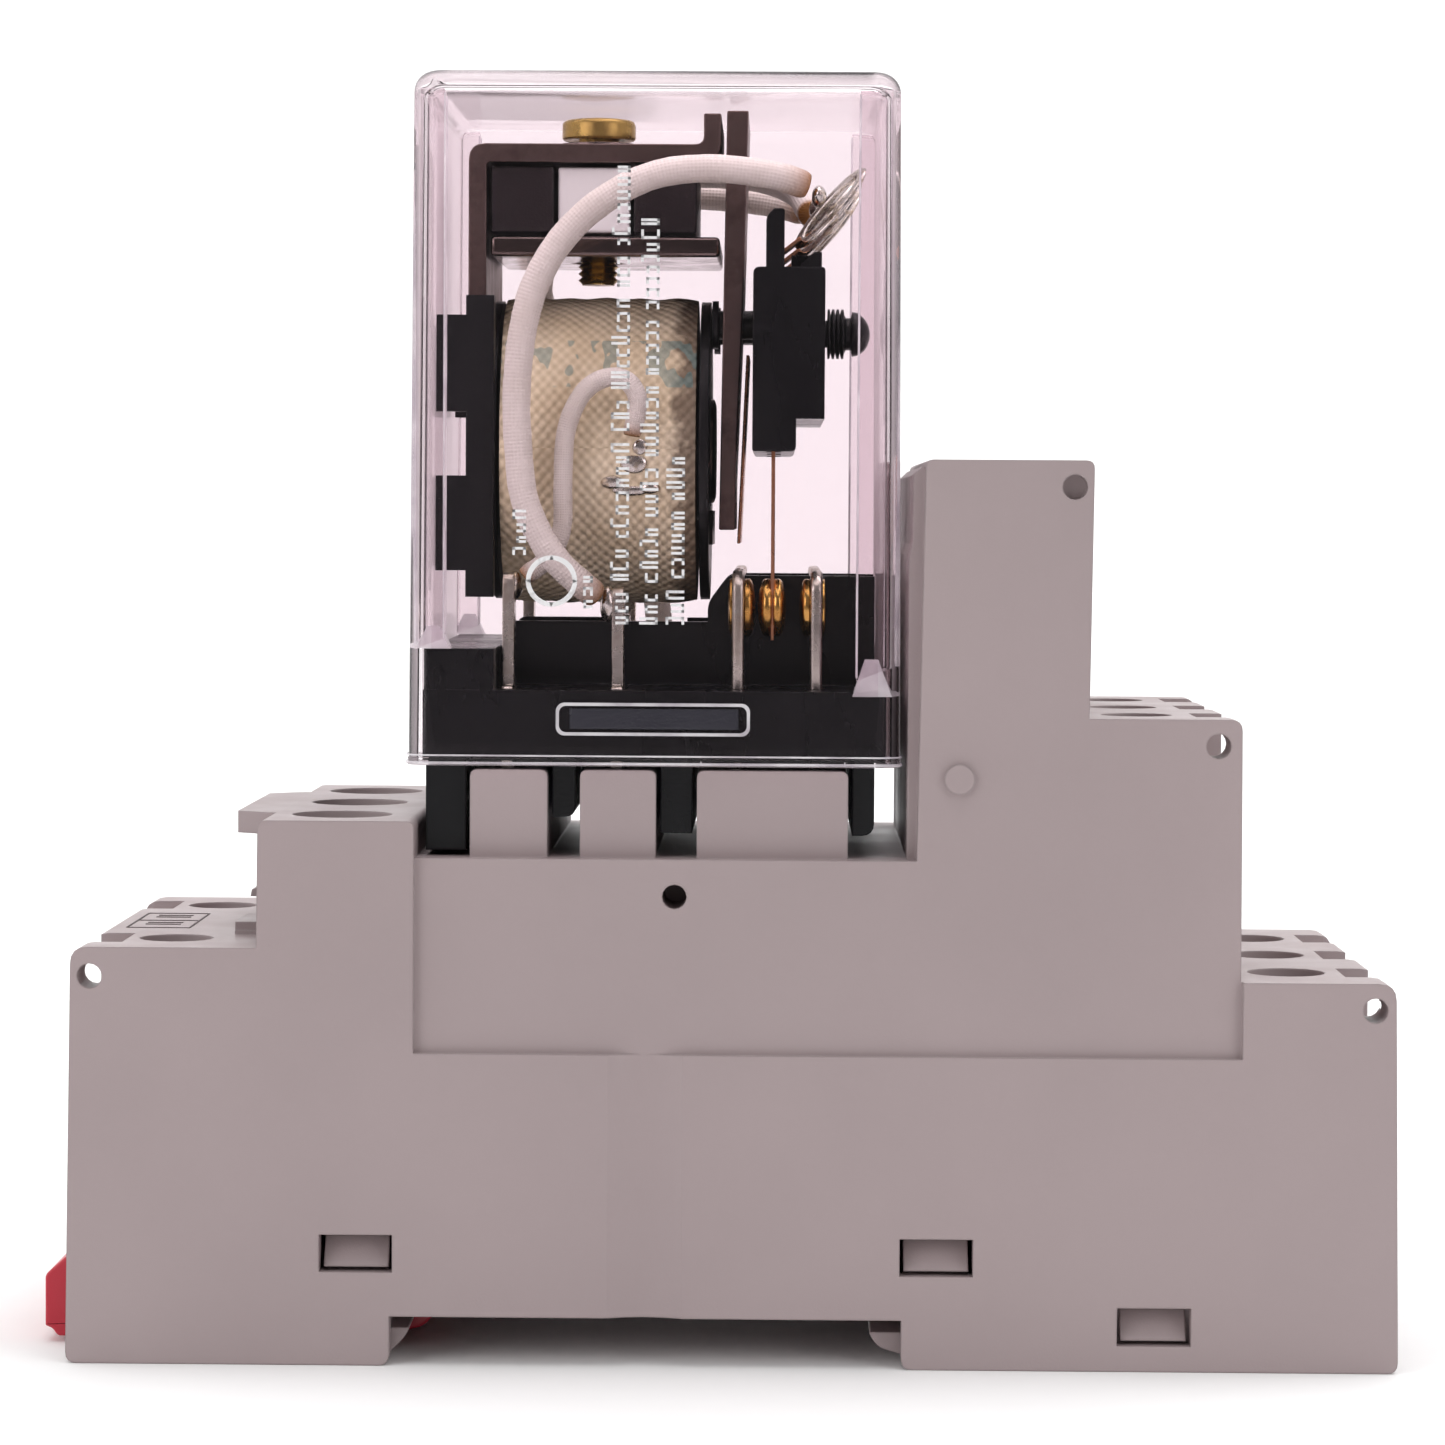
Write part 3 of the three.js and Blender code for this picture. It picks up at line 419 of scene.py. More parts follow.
def clear_cover():
    """Clear moulded plastic with a faint warm tint, which lets the lamps light what is inside."""
    look = Nodes("clear cover plastic", (0.88, 0.815, 0.84), 0.02, Transmission_Weight=1.0, IOR=1.28)
    flow = look.noise(look.place((1.0, 1.0, 0.15)), 90.0, 2.0)
    look.set("Normal", look.bump(flow, 0.00004, 0.2))
    open_way = look.tree.nodes.new("ShaderNodeBsdfTransparent")
    open_way.inputs["Color"].default_value = (0.97, 0.94, 0.96, 1.0)
    hazy = look.haze(look.shader.outputs[0], (0.80, 0.745, 0.765), 0.66, 0.98, 0.66)
    shadow = look.add("ShaderNodeLightPath", "Is Shadow Ray")
    both = look.add("ShaderNodeMixShader", 0, {0: shadow, 1: hazy, 2: open_way.outputs[0]})
    look.tree.links.new(both, look.tree.nodes["Material Output"].inputs["Surface"])
    return look.material


def painted_edge_highlights():
    """Painted highlights for the cover's edges: a half-clear colour, whiter than its walls, that stands
    in for the light the clear edges catch and bend.
    """
    look = Nodes("painted edge highlight", (0.80, 0.76, 0.80), 0.25, Alpha=0.5)
    # painted glints: noise turns the painted highlight between grey and near white in patches
    painted_glints = look.noise(look.place(), 300.0, 3.0)
    share = look.ramp(painted_glints, 0.4, 0.6)
    look.set("Base Color", look.mix(share, (0.66, 0.61, 0.66), (0.95, 0.92, 0.95)))
    return look.material


def print_ink():
    """White print on the cover, a little worn."""
    look = Nodes("white print", (0.86, 0.85, 0.86), 0.5, Alpha=0.85)
    worn = look.noise(look.place(), 1400.0, 3.0)
    look.set("Alpha", look.ramp(worn, 0.3, 0.5, 0.55, 0.9))
    return look.material


def solder_metal():
    """Solder: bright, lumpy and a little dull where flux has dried."""
    look = Nodes("solder", (0.66, 0.64, 0.60), 0.22, Metallic=1.0)
    lumps = look.noise(look.place(), 1500.0, 3.0)
    dull = look.ramp(lumps, 0.45, 0.75)
    look.set("Base Color", look.mix(dull, (0.66, 0.64, 0.60), (0.42, 0.33, 0.22)))
    look.set("Roughness", look.ramp(lumps, 0.3, 0.8, 0.12, 0.42))
    look.set("Normal", look.bump(lumps, 0.00006, 0.6))
    return look.material


grey_plastic = moulded("grey socket plastic", (0.375, 0.302, 0.306), 0.46, cloud=0.02)
red_plastic = moulded("red latch plastic", (0.50, 0.014, 0.035), 0.36)
smoked_plastic = moulded("smoked latch plate", (0.022, 0.020, 0.030), 0.24)
black_plastic = moulded("black moulded plastic", (0.0045, 0.0042, 0.0055), 0.30, grain=0.00001,
                        Specular_IOR_Level=0.28)
bobbin_plastic = moulded("black bobbin plastic", (0.007, 0.0065, 0.008), 0.38, Specular_IOR_Level=0.28)
white_plastic = moulded("off-white sleeve plastic", (0.86, 0.84, 0.84), 0.40, cloud=0.01)
ferrite = moulded("pressed magnet", (0.016, 0.010, 0.012), 0.42, grain=0.00005, Specular_IOR_Level=0.3)
brown_steel = sheet_metal("brown coated steel", (0.15, 0.105, 0.098), 0.36, stain=(0.085, 0.056, 0.053))
plated_steel = sheet_metal("bright plated strip", (0.62, 0.58, 0.53), 0.24, stain=(0.40, 0.34, 0.28))
screw_steel = sheet_metal("plated screw", (0.60, 0.59, 0.56), 0.26, stretch=(1.0, 1.0, 1.0))
brass = sheet_metal("brass screw", (0.42, 0.285, 0.09), 0.28, stretch=(1.0, 1.0, 1.0),
                    stain=(0.25, 0.16, 0.055))
dark_steel = sheet_metal("dark polished steel", (0.17, 0.13, 0.125), 0.14, stain=(0.12, 0.09, 0.085))
copper = sheet_metal("copper alloy spring", (0.55, 0.27, 0.16), 0.28, stain=(0.34, 0.15, 0.08))
gold = sheet_metal("gold contact face", (0.72, 0.42, 0.12), 0.18, stretch=(1.0, 1.0, 1.0),
                   stain=(0.48, 0.24, 0.06))
tape = woven_tape()
sleeve_cloth = braided_sleeve()
clear_plastic = clear_cover()
painted_edge_highlight = painted_edge_highlights()
white_ink = print_ink()
mark_ink = moulded("engraved marking", (0.13, 0.10, 0.10), 0.6)
solder = solder_metal()


# ---------------------------------------------------------------- socket

def make_socket():
    """The housing, its closing plate and the red latch, with rounded edges."""
    smooth_piece("socket_housing", grey_plastic, "socket")
    smooth_piece("base_plate", grey_plastic, "socket")
    rounded_piece("din_latch", red_plastic, "latch", 0.2, 3)
    make_marking()


def make_marking():
    """A plain ruled frame with four short bars, let into the lower left step."""
    left, right, half, pen = -44.6, -40.0, 5.6, 0.07
    low, top = 29.46, 29.5
    lines = [flat_box([left, y - pen, low], [right, y + pen, top]) for y in (-half, 0.0, half)]
    lines += [flat_box([x - pen, -half, low], [x + pen, half, top]) for x in (left, right)]
    lines += [flat_box([left + 1.0, y - 0.9, low], [right - 1.0, y - 0.6, top])
              for y in (-2.2, -0.9, 3.4, 4.7)]
    marks = outward(mesh_from("terminal_marking", *gather(lines), smooth=False))
    add_piece("terminal_marking", marks, mark_ink, "socket")


SCREWS = {
    "coil": (-39.9, (-12.9, 12.9)), "common": (-28.0, (-13.0, 0.0, 13.0)),
    "open": (39.6, POLE_ROWS), "closed": (28.7, POLE_ROWS),
}


def screw_profile(low, top):
    """The side of a clamping screw: a plain shank with shallow threads under a low domed head."""
    under = top - 1.8
    points = [[0, low], [1.45, low]]
    for level in np.arange(low + 0.15, under - 0.5, 0.6):
        points += [[1.69, level + 0.15], [1.45, level + 0.45]]
    points += [[1.55, under], [2.85, under], [2.98, under + 0.15], [2.98, top - 0.75]]
    dome = [[2.98 * math.cos(a), top - 0.75 + 0.75 * math.sin(a)] for a in np.linspace(0.12, 1.45, 9)]
    return points + dome + [[0, top]]


def make_terminals():
    """A turned screw with a cross slot, and a rising clamp, in each terminal."""
    for tier, (x, rows) in SCREWS.items():
        low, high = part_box(f"screw_{tier}_1")
        low_mm, top_mm = low[2] * 1000, high[2] * 1000
        for i, y in enumerate(rows):
            node = f"screw_{tier}_{i + 1}"
            points, faces = turned("z", screw_profile(low_mm, top_mm), (x, y), 40)
            blank = outward(mesh_from(node, points, faces))
            cut = carve(blank, [([x - 4, y - 0.45, top_mm - 0.95], [x + 4, y + 0.45, top_mm + 1]),
                                ([x - 0.45, y - 1.9, top_mm - 0.95], [x + 0.45, y + 1.9, top_mm + 1])])
            add_piece(f"{node}_finished", crisp(cut), screw_steel, f"screw_body_{tier}_{i + 1}",
                      [node])
            rounded_piece(f"clamp_{tier}_{i + 1}", screw_steel, f"clamp_body_{tier}_{i + 1}",
                          0.12, 2)


# ---------------------------------------------------------------- clear cover

COVER = {"left": -22.95, "right": 11.75, "half": 19.1, "bottom": 42.35, "top": 91.0}
WALL = 0.85
POST_X = {"left": (-22.05, -20.4), "right": (8.6, 10.85)}
POST_INNER = 16.4
LATCH_WINDOW = (-12.45, 1.15, 44.5, 46.8)


def rounded_rectangle(left, right, half, radius, count=8):
    """Points round a rectangle whose corners are quarter circles."""
    radius = max(radius, 0.05)
    points = []
    corners = [(right - radius, half - radius, 0), (left + radius, half - radius, 90),
               (left + radius, -half + radius, 180), (right - radius, -half + radius, 270)]
    for x, y, start in corners:
        for angle in np.radians(np.linspace(start, start + 90, count)):
            points.append([x + radius * math.cos(angle), y + radius * math.sin(angle)])
    return np.array(points)


def shell_rings(inset, top, rounding, bottom, flare):
    """Rings of the cover's skin from its rim up: the walls lean in, then round over to the top."""
    rings = []
    for z, lean in ((bottom, 0.0), (bottom + 0.5, 0.0), (bottom + 0.55, flare),
                    (top - rounding, flare + 0.25)):
        rings.append((z, inset + lean))
    for angle in np.radians(np.linspace(10, 90, 8)):
        rings.append((top - rounding + rounding * math.sin(angle),
                      inset + flare + 0.25 + rounding * (1 - math.cos(angle))))
    found = []
    for z, lean in rings:
        flat = rounded_rectangle(COVER["left"] + lean, COVER["right"] - lean, COVER["half"] - lean,
                                 1.5 - lean * 0.4)
        found.append(np.column_stack([flat, np.full(len(flat), z)]))
    return found


def corner_post(x0, x1, y0, y1, z0, z1, slope):
    """An upright rib in a corner of the cover, its foot cut off at a slope."""
    points = [[x0, y0, z0], [x1, y0, z0 + slope], [x1, y1, z0 + slope], [x0, y1, z0],
              [x0, y0, z1], [x1, y0, z1], [x1, y1, z1], [x0, y1, z1]]
    faces = [(3, 2, 1, 0), (4, 5, 6, 7), (0, 1, 5, 4), (1, 2, 6, 5), (2, 3, 7, 6), (3, 0, 4, 7)]
    return points, faces


def make_cover():
    """The clear shell with its rim, its corner posts and the raised frames round the latch windows; the
    frames and thin beads along the edges carry painted highlights.
    """
    outer = shell_rings(0.0, COVER["top"], 1.6, COVER["bottom"], 0.06)
    inner = shell_rings(WALL, COVER["top"] - 1.15, 1.0, COVER["bottom"], 0.0)
    rings = list(reversed(inner)) + outer
    parts = [(np.concatenate(rings), rings_to_faces(len(rings), len(outer[0])))]
    for side in (-1, 1):
        y0, y1 = sorted((side * 18.2, side * POST_INNER))
        parts.append(corner_post(*POST_X["left"], y0, y1, 50.6, 89.6, 0.6))
        parts.append(corner_post(*POST_X["right"], y0, y1, 48.4, 89.6, 0.9))
    shell = outward(mesh_from("cover", *gather(parts)))
    add_piece("cover_shell", crisp(shell, 40), clear_plastic, "relay", ["cover"])
    make_painted_edge_highlights()
    make_print()


def flat_ring(left, right, low, high, width, radius, y0, y1):
    """A frame that lies against a side wall: a rounded rectangle in X and Z with an open middle."""
    half, middle = (high - low) / 2, (high + low) / 2
    rings = []
    for inset, y in ((0.0, y0), (0.0, y1), (width, y1), (width, y0)):
        flat = rounded_rectangle(left + inset, right - inset, half - inset, radius - inset * 0.5)
        rings.append(np.column_stack([flat[:, 0], np.full(len(flat), y), flat[:, 1] + middle]))
    return np.concatenate(rings), rings_to_faces(4, len(rings[0]), looped=True)


def foot_band(level, radius=0.11):
    """A thin bead all round the cover at a height, for a painted highlight: its outline, grown and
    raised round a circle.
    """
    rings = []
    for angle in np.radians(np.arange(0, 360, 60)):
        out = 0.05 + radius * math.cos(angle)
        flat = rounded_rectangle(COVER["left"] - out, COVER["right"] + out, COVER["half"] + out,
                                 1.5 + out)
        rings.append(np.column_stack([flat, np.full(len(flat), level + radius * math.sin(angle))]))
    return np.concatenate(rings), rings_to_faces(len(rings), len(rings[0]), looped=True)


def rod(x, y, z0, z1, radius):
    """An upright thin rod along an edge, for a painted highlight."""
    path = np.array([[x, y, z] for z in np.linspace(z0, z1, 4)])
    return swept(path, np.full(4, radius), 8)


def make_painted_edge_highlights():
    """Thin beads in a painted highlight for the cover's foot, the latch windows and the corners of its
    posts.
    """
    parts = [foot_band(42.52), foot_band(43.05, 0.07)]
    for side in (-1, 1):
        near, far = sorted((side * 19.06, side * 19.2))
        parts.append(flat_ring(*LATCH_WINDOW, 0.22, 0.6, near, far))
        for x, reach, low in ((-20.4, POST_INNER, 51.3), (-22.05, POST_INNER, 50.7),
                              (8.6, POST_INNER, 48.6), (10.85, POST_INNER, 49.4),
                              (-20.4, 18.15, 51.3), (8.6, 18.15, 48.6)):
            parts.append(rod(x, side * reach, low, 89.3, 0.07))
        y0, y1 = sorted((side * POST_INNER, side * 18.15))
        # the feet of the posts, shown in the painted highlight too
        parts.append(foot_wedge(8.3, 11.0, 47.3, 49.9, y0, y1))
        parts.append(foot_wedge(-22.3, -19.9, 50.5, 52.1, y0, y1))
    edges = outward(mesh_from("painted_edge_highlights", *gather(parts), smooth=False))
    add_piece("painted_edge_highlights", edges, painted_edge_highlight, "relay")
    plates = [corner_post(-11.5, 0.35, *sorted((side * 19.05, side * 19.1)), 44.95, 46.4, 0.0)
              for side in (-1, 1)]
    add_piece("latch_plates", outward(mesh_from("latch_plates", *gather(plates), smooth=False)),
              smoked_plastic, "relay")


def foot_wedge(x0, x1, z0, z1, y0, y1):
    """The splayed foot of a corner post: two sloping facets that meet in an upright ridge."""
    middle = (x0 + x1) / 2
    lean = 0.35 * (x1 - x0) / 2
    points = [[x0, y0, z0], [x1, y0, z0], [x1, y1, z0], [x0, y1, z0],
              [middle - lean, y0, z1], [middle + lean, y0, z1], [middle + lean, y1, z1],
              [middle - lean, y1, z1]]
    faces = [(3, 2, 1, 0), (4, 5, 6, 7), (0, 1, 5, 4), (1, 2, 6, 5), (2, 3, 7, 6), (3, 0, 4, 7)]
    return points, faces


def print_line(x, low, high, height, rng):
    """One line of print that runs up the cover: small shapes in groups, which spell nothing."""
    bars, z = [], low
    while z < high:
        for _ in range(rng.integers(3, 9)):
            wide = rng.uniform(0.55, 0.85)
            tall = height * rng.choice([0.70, 0.72, 1.0])
            if z + wide > high:
                break
            bars.append((x - tall, x, z, z + wide * 0.8, rng.integers(0, 4)))
            z += wide + 0.14
        z += 0.55
    return bars


def make_print():
    """Lines of print on the near wall, with a plain ring beside them.

    Each shape is a small frame of four pen strokes with one of them left out."""
    rng = np.random.default_rng(11)
    bars = []
    for x, low, high in ((-7.4, 52.3, 84.6), (-5.35, 52.3, 81.7), (-3.5, 52.3, 64.3)):
        bars += print_line(x, low, high, 1.3, rng)
    bars += print_line(-14.6, 57.1, 60.6, 0.95, rng)
    bars += print_line(-9.9, 53.4, 57.2, 0.95, rng)
    parts = []
    for x0, x1, z0, z1, form in bars:
        y = -(COVER["half"] - 0.06 - 0.25 * (z0 - 42.9) / 46.5) - 0.012  # follows the wall's lean
        pen = 0.19
        strokes = [((x0, z0), (x1, z0 + pen)), ((x0, z1 - pen), (x1, z1)),
                   ((x0, z0), (x0 + pen, z1)), ((x1 - pen, z0), (x1, z1))]
        for k, (a, b) in enumerate(strokes):
            if k != form:
                parts.append(corner_post(a[0], b[0], y - 0.02, y, a[1], b[1], 0.0))
    y = -(COVER["half"] - 0.12)
    parts.append(flat_ring(-14.6, -11.0, 53.5, 57.1, 0.3, 1.79, y - 0.03, y - 0.01))
    ink = outward(mesh_from("cover_print", *gather(parts), smooth=False))
    add_piece("cover_print", ink, white_ink, "relay")


# ---------------------------------------------------------------- relay: motor

def make_winding():
    """The taped coil: a drum whose radius swells and dips a little from turn to turn of tape."""
    sides, steps = 180, 70
    angles = np.linspace(0, 2 * np.pi, sides, endpoint=False)
    rng = np.random.default_rng(4)
    rings = []
    levels = np.linspace(-17.0, -2.95, steps)
    for x in levels:
        edge = min(x + 17.0, -2.95 - x)
        lift = 11.08 + 0.14 * math.tanh(edge / 0.5) + 0.05 * math.sin(x * 2.4)
        wave = 0.03 * np.sin(3 * angles + x) + rng.normal(0, 0.004, sides)
        rings.append(np.stack([np.full(sides, x), (lift + wave) * np.cos(angles),
                               (lift + wave) * np.sin(angles) + COIL_AXIS_Z], 1))
    bore = 5.4
    for x in (levels[-1], levels[0]):
        rings.append(np.stack([np.full(sides, x), bore * np.cos(angles),
                               bore * np.sin(angles) + COIL_AXIS_Z], 1))
    faces = rings_to_faces(len(rings), sides, looped=True)
    drum = outward(mesh_from("winding", np.concatenate(rings), faces))
    add_piece("coil_winding", crisp(drum, 40), tape, "relay", ["winding"])


def thread_profile(low, high, core, crest, pitch):
    """Saw-shaped ridges of a threaded rod between two heights."""
    points = []
    for level in np.arange(low, high, pitch):
        points += [[core, level], [crest, level + pitch / 2]]
    return points


def make_frame_screw():
    """The brass screw through the frame: threads below, a rimmed head with a slot on top."""
    profile = [[0, 76.9], [1.2, 76.9]] + thread_profile(77.0, 87.0, 1.22, 1.49, 0.5)
    profile += [[1.5, 87.55], [2.6, 87.55], [2.72, 87.7], [2.72, 88.7], [2.62, 88.9], [2.4, 89.02],
                [1.9, 89.1], [0, 89.1]]
    points, faces = turned("z", profile, (SCREW_AXIS_X, 0.0), 48)
    blank = outward(mesh_from("frame_screw", points, faces))
    slot = ([SCREW_AXIS_X - 4, -0.4, 88.45], [SCREW_AXIS_X + 4, 0.4, 90])
    finished = crisp(carve(blank, [slot]))
    add_piece("frame_screw_finished", finished, brass, "relay", ["frame_screw"])


def make_motor():
    """Frame plates, magnets, core, bobbin and the screw that holds them."""
    for node in ("yoke", "core"):
        rounded_piece(node, brown_steel, "relay", 0.12, 2)
    for node in ("magnet_left", "magnet_right"):
        rounded_piece(node, ferrite, "relay", 0.12, 2)
    rounded_piece("lower_plate", dark_steel, "relay", 0.3, 3)
    rounded_piece("spacer_block", white_plastic, "relay", 0.2, 2)
    rounded_piece("frame_washer", dark_steel, "relay", 0.06, 2)
    smooth_piece("bobbin", bobbin_plastic, "relay")
    make_winding()
    make_frame_screw()


# ---------------------------------------------------------------- relay: base and contacts

def make_base():
    """The relay's base with the posts that stand on it."""
    smooth_piece("relay_base", black_plastic, "relay")
    for i in (1, 2):
        rounded_piece(f"coil_post_{i}", plated_steel, "relay", 0.1, 2)
    for i in (1, 2, 3):
        rounded_piece(f"common_post_{i}", plated_steel, "relay", 0.1, 2)


def button_profile(foot, crown, radius):
    """The side of a contact button: a flat foot, a short wall and a domed face."""
    rise = crown - foot
    points = [[0, foot], [radius * 0.94, foot], [radius, foot + rise * 0.12],
              [radius, foot + rise * 0.45]]
    for angle in np.radians(np.linspace(12, 84, 8)):
        points.append([radius * math.cos(angle), foot + rise * (0.45 + 0.55 * math.sin(angle))])
    return points + [[0, crown]]


def make_buttons(name, x_pairs, y, body):
    """Gold faced buttons on a strip; each pair is the X of a button's foot and of its crown."""
    parts = [turned("x", button_profile(foot, crown, 2.05), (y, CONTACT_Z), 40)
             for foot, crown in x_pairs]
    mesh = crisp(outward(mesh_from(name, *gather(parts))), 50)
    return add_piece(name, mesh, gold, body)


def blade_outline(y, top):
    """The outline of a contact blade in Y and Z, with a tapered tip and a round head."""
    half = 2.4
    points = [[y - half + 0.8, 35.2], [y + half - 0.8, 35.2], [y + half, 36.4]]
    for angle in np.radians(np.linspace(0, 180, 19)):
        points.append([y + half * math.cos(angle), top - 1.5 + 1.5 * math.sin(angle)])
    return points + [[y - half, 36.4]]


def slab(outline, x0, x1):
    """A flat plate from an outline in Y and Z, between two values of X."""
    count = len(outline)
    points = [[x0, y, z] for y, z in outline] + [[x1, y, z] for y, z in outline]
    return np.array(points), rings_to_faces(2, count)


def rounded(mesh, width, segments):
    """A mesh with its sharp edges rounded by a width in millimetres."""
    work = bmesh.new()
    work.from_mesh(mesh)
    bmesh.ops.recalc_face_normals(work, faces=work.faces)
    round_off(work, width, segments, 40, True)
    work.to_mesh(mesh)
    work.free()
    return crisp(mesh, 50)


def make_fixed_contacts():
    """Each fixed contact: a blade that is also the strip, a gold button and the rivet's tail."""
    for i, y in enumerate(POLE_ROWS):
        for kind, x, towards in (("closed", 0.22, 1), ("open", 5.78, -1)):
            node = f"{kind}_contact_{i + 1}"
            face, back = x + towards * STRIP_HALF, x - towards * STRIP_HALF
            blade = slab(blade_outline(y, 56.1), x - STRIP_HALF, x + STRIP_HALF)
            strip = rounded(mesh_from(node, *blade), 0.26, 3)
            add_piece(f"{node}_finished", strip, plated_steel, "relay", [node])
            make_buttons(f"{node}_button", [(face, face + towards * 0.8), (back, back - towards * 0.3)],
                         y, "relay")


# ---------------------------------------------------------------- armature

def make_armature():
    """The rocking plate, its shim and the moulding that carries the springs."""
    rounded_piece("armature", brown_steel, "rocker", 0.12, 2)
    rounded_piece("armature_shim", copper, "rocker", 0.05, 1)
    smooth_piece("contact_carrier", black_plastic, "rocker")
    make_stud()
    for i, y in enumerate(POLE_ROWS):
        make_spring(i, y)


def make_stud():
    """The carrier's adjusting stud: a plain neck, four ridges of thread and a round end."""
    profile = [[0, 4.7], [1.0, 4.7], [1.0, 6.55]]
    for level in np.arange(6.55, 7.7, 0.34):
        profile += [[1.84, level + 0.04], [1.84, level + 0.20], [1.42, level + 0.26]]
    profile += [[1.2, 7.95], [1.2, 8.3]]
    profile += [[1.65 * math.cos(a), 8.4 + 1.4 * math.sin(a)] for a in np.linspace(0.0, 1.45, 9)]
    profile += [[0, 9.8]]
    points, faces = turned("x", profile, (0.0, 73.4), 40)
    stud = crisp(outward(mesh_from("carrier_stud", points, faces)), 30)
    add_piece("carrier_stud_finished", stud, black_plastic, "rocker",
              ["carrier_stud"])


def tinned_eye(y):
    """The spring's solder tab: an oval loop that leans out, turned a little about its length.

    A flat oval section is carried round an ellipse, and a thin web of tin fills its middle."""
    start, end = np.array([4.2, y, 79.0]), np.array([9.0, y, 84.6])
    along = (end - start) / np.linalg.norm(end - start)
    twist = math.radians(24)
    flat = np.array([0.0, 1.0, 0.0])
    normal = np.cross(along, flat)
    across = flat * math.cos(twist) + normal * math.sin(twist)
    up = np.cross(along, across)
    centre, reach = (start + end) / 2, np.linalg.norm(end - start) / 2
    rings = []
    for angle in np.linspace(0, 2 * np.pi, 40, endpoint=False):
        c, d = math.cos(angle), math.sin(angle)
        middle = centre + along * (reach - 0.45) * c + across * 1.35 * d
        out = along * c * 0.6 + across * d
        out = out / np.linalg.norm(out)
        ring = [middle + out * 0.52 * math.cos(a) + up * 0.17 * math.sin(a)
                for a in np.linspace(0, 2 * np.pi, 10, endpoint=False)]
        rings.append(np.array(ring))
    loop = np.concatenate(rings), rings_to_faces(len(rings), 10, looped=True)
    rim = [centre + along * (reach - 0.6) * math.cos(a) + across * 1.3 * math.sin(a)
           for a in np.linspace(0, 2 * np.pi, 28, endpoint=False)]
    web = np.array([p - up * 0.05 for p in rim] + [p + up * 0.05 for p in rim]), rings_to_faces(2, 28)
    return gather([loop, web])


def make_spring(i, y):
    """A thin spring strip with a tinned solder tab, and a button on each face.

    The strip is a flat rectangle carried along a smooth line in X and Z."""
    node = f"moving_contact_{i + 1}"
    half_width, half_thick = 1.55, 0.13
    line = [[2.66, 51.1], [2.66, 77.9], [2.85, 78.4], [3.4, 78.75], [4.5, 79.6]]
    line = smooth_path([[x, 0.0, z] for x, z in line], 6)[:, [0, 2]]
    along = np.gradient(line, axis=0)
    along /= np.linalg.norm(along, axis=1, keepdims=True)
    side = np.column_stack([-along[:, 1], along[:, 0]]) * half_thick
    corners = []
    for across, wide in ((-1, -1), (1, -1), (1, 1), (-1, 1)):
        edge = line + across * side
        level = np.full(len(line), y + wide * half_width)
        corners.append(np.column_stack([edge[:, 0], level, edge[:, 1]]))
    points = np.stack(corners, 1).reshape(-1, 3)
    strip = crisp(outward(mesh_from(node, points, rings_to_faces(len(line), 4))), 40)
    made = add_piece(f"{node}_finished", strip, copper, "rocker", [node])
    made.modifiers.new("soft_edges", "BEVEL").width = 0.00004
    tab = outward(mesh_from(f"solder_tab_{i + 1}", *tinned_eye(y)))
    add_piece(f"solder_tab_{i + 1}", tab, solder, "rocker")
    make_buttons(f"{node}_button", [(2.6, 1.62), (2.72, 3.64)], y, "rocker")


# ---------------------------------------------------------------- leads

NEAR_POLE_ROUTE = [
    [4.9, -13.6, 83.3], [2.4, -14.3, 84.0], [-2.05, -14.6, 84.4], [-5.95, -14.6, 83.9],
    [-9.5, -14.6, 82.1], [-12.3, -14.6, 79.5], [-14.15, -14.6, 76.4], [-15.15, -14.6, 72.8],
    [-15.55, -14.6, 68.4], [-15.4, -14.6, 64.5], [-15.0, -14.6, 61.2], [-13.95, -14.6, 58.6],
    [-12.6, -14.5, 56.6], [-10.9, -14.1, 55.0], [-9.9, -13.5, 54.2],
]
FAR_POLE_ROUTE = [
    [4.9, 13.6, 83.3], [2.4, 14.3, 84.0], [-2.05, 14.6, 84.5], [-6.6, 14.6, 84.4],
    [-10.9, 14.6, 83.1], [-14.1, 14.6, 80.8], [-16.1, 14.6, 77.6], [-17.1, 14.6, 73.6],
    [-17.4, 14.6, 69.0], [-17.2, 14.6, 64.7], [-16.7, 14.6, 61.0], [-15.4, 14.6, 58.2],
    [-13.6, 14.5, 56.2], [-11.4, 14.1, 54.8], [-9.9, 13.5, 54.2],
]
MIDDLE_ROUTE = [
    [5.3, 2.6, 82.4], [5.15, 5.2, 82.9], [4.2, 8.4, 84.4], [1.6, 11.0, 85.6], [-2.0, 11.7, 86.0],
    [-6.0, 11.6, 85.8], [-10.0, 11.6, 84.3], [-13.3, 11.6, 81.6], [-15.3, 11.7, 78.3],
    [-14.9, 12.0, 75.3], [-12.4, 12.3, 72.6], [-9.0, 12.45, 70.6], [-7.2, 12.45, 68.0],
    [-6.6, 12.45, 64.0], [-6.6, 12.3, 60.0], [-6.4, 11.2, 55.0], [-6.0, 8.6, 51.6],
    [-5.9, 5.4, 50.2], [-6.2, 2.8, 50.4], [-6.75, 1.2, 50.9],
]
NEAR_COIL_ROUTE = [
    [-7.45, -12.15, 65.6], [-7.05, -12.4, 68.2], [-8.0, -12.4, 69.6], [-9.6, -12.4, 69.6],
    [-11.1, -12.4, 68.4], [-12.15, -12.4, 65.8], [-12.35, -12.4, 62.0], [-12.4, -12.4, 59.0],
    [-13.3, -12.4, 56.9], [-15.1, -12.4, 55.5],
]
FAR_COIL_ROUTE = [
    [-10.6, 12.2, 65.4], [-10.9, 12.35, 67.4], [-12.0, 12.35, 68.4], [-13.1, 12.35, 67.2],
    [-13.5, 12.35, 64.0], [-13.6, 12.35, 60.0], [-14.0, 12.35, 57.4], [-15.1, 12.4, 55.5],
]


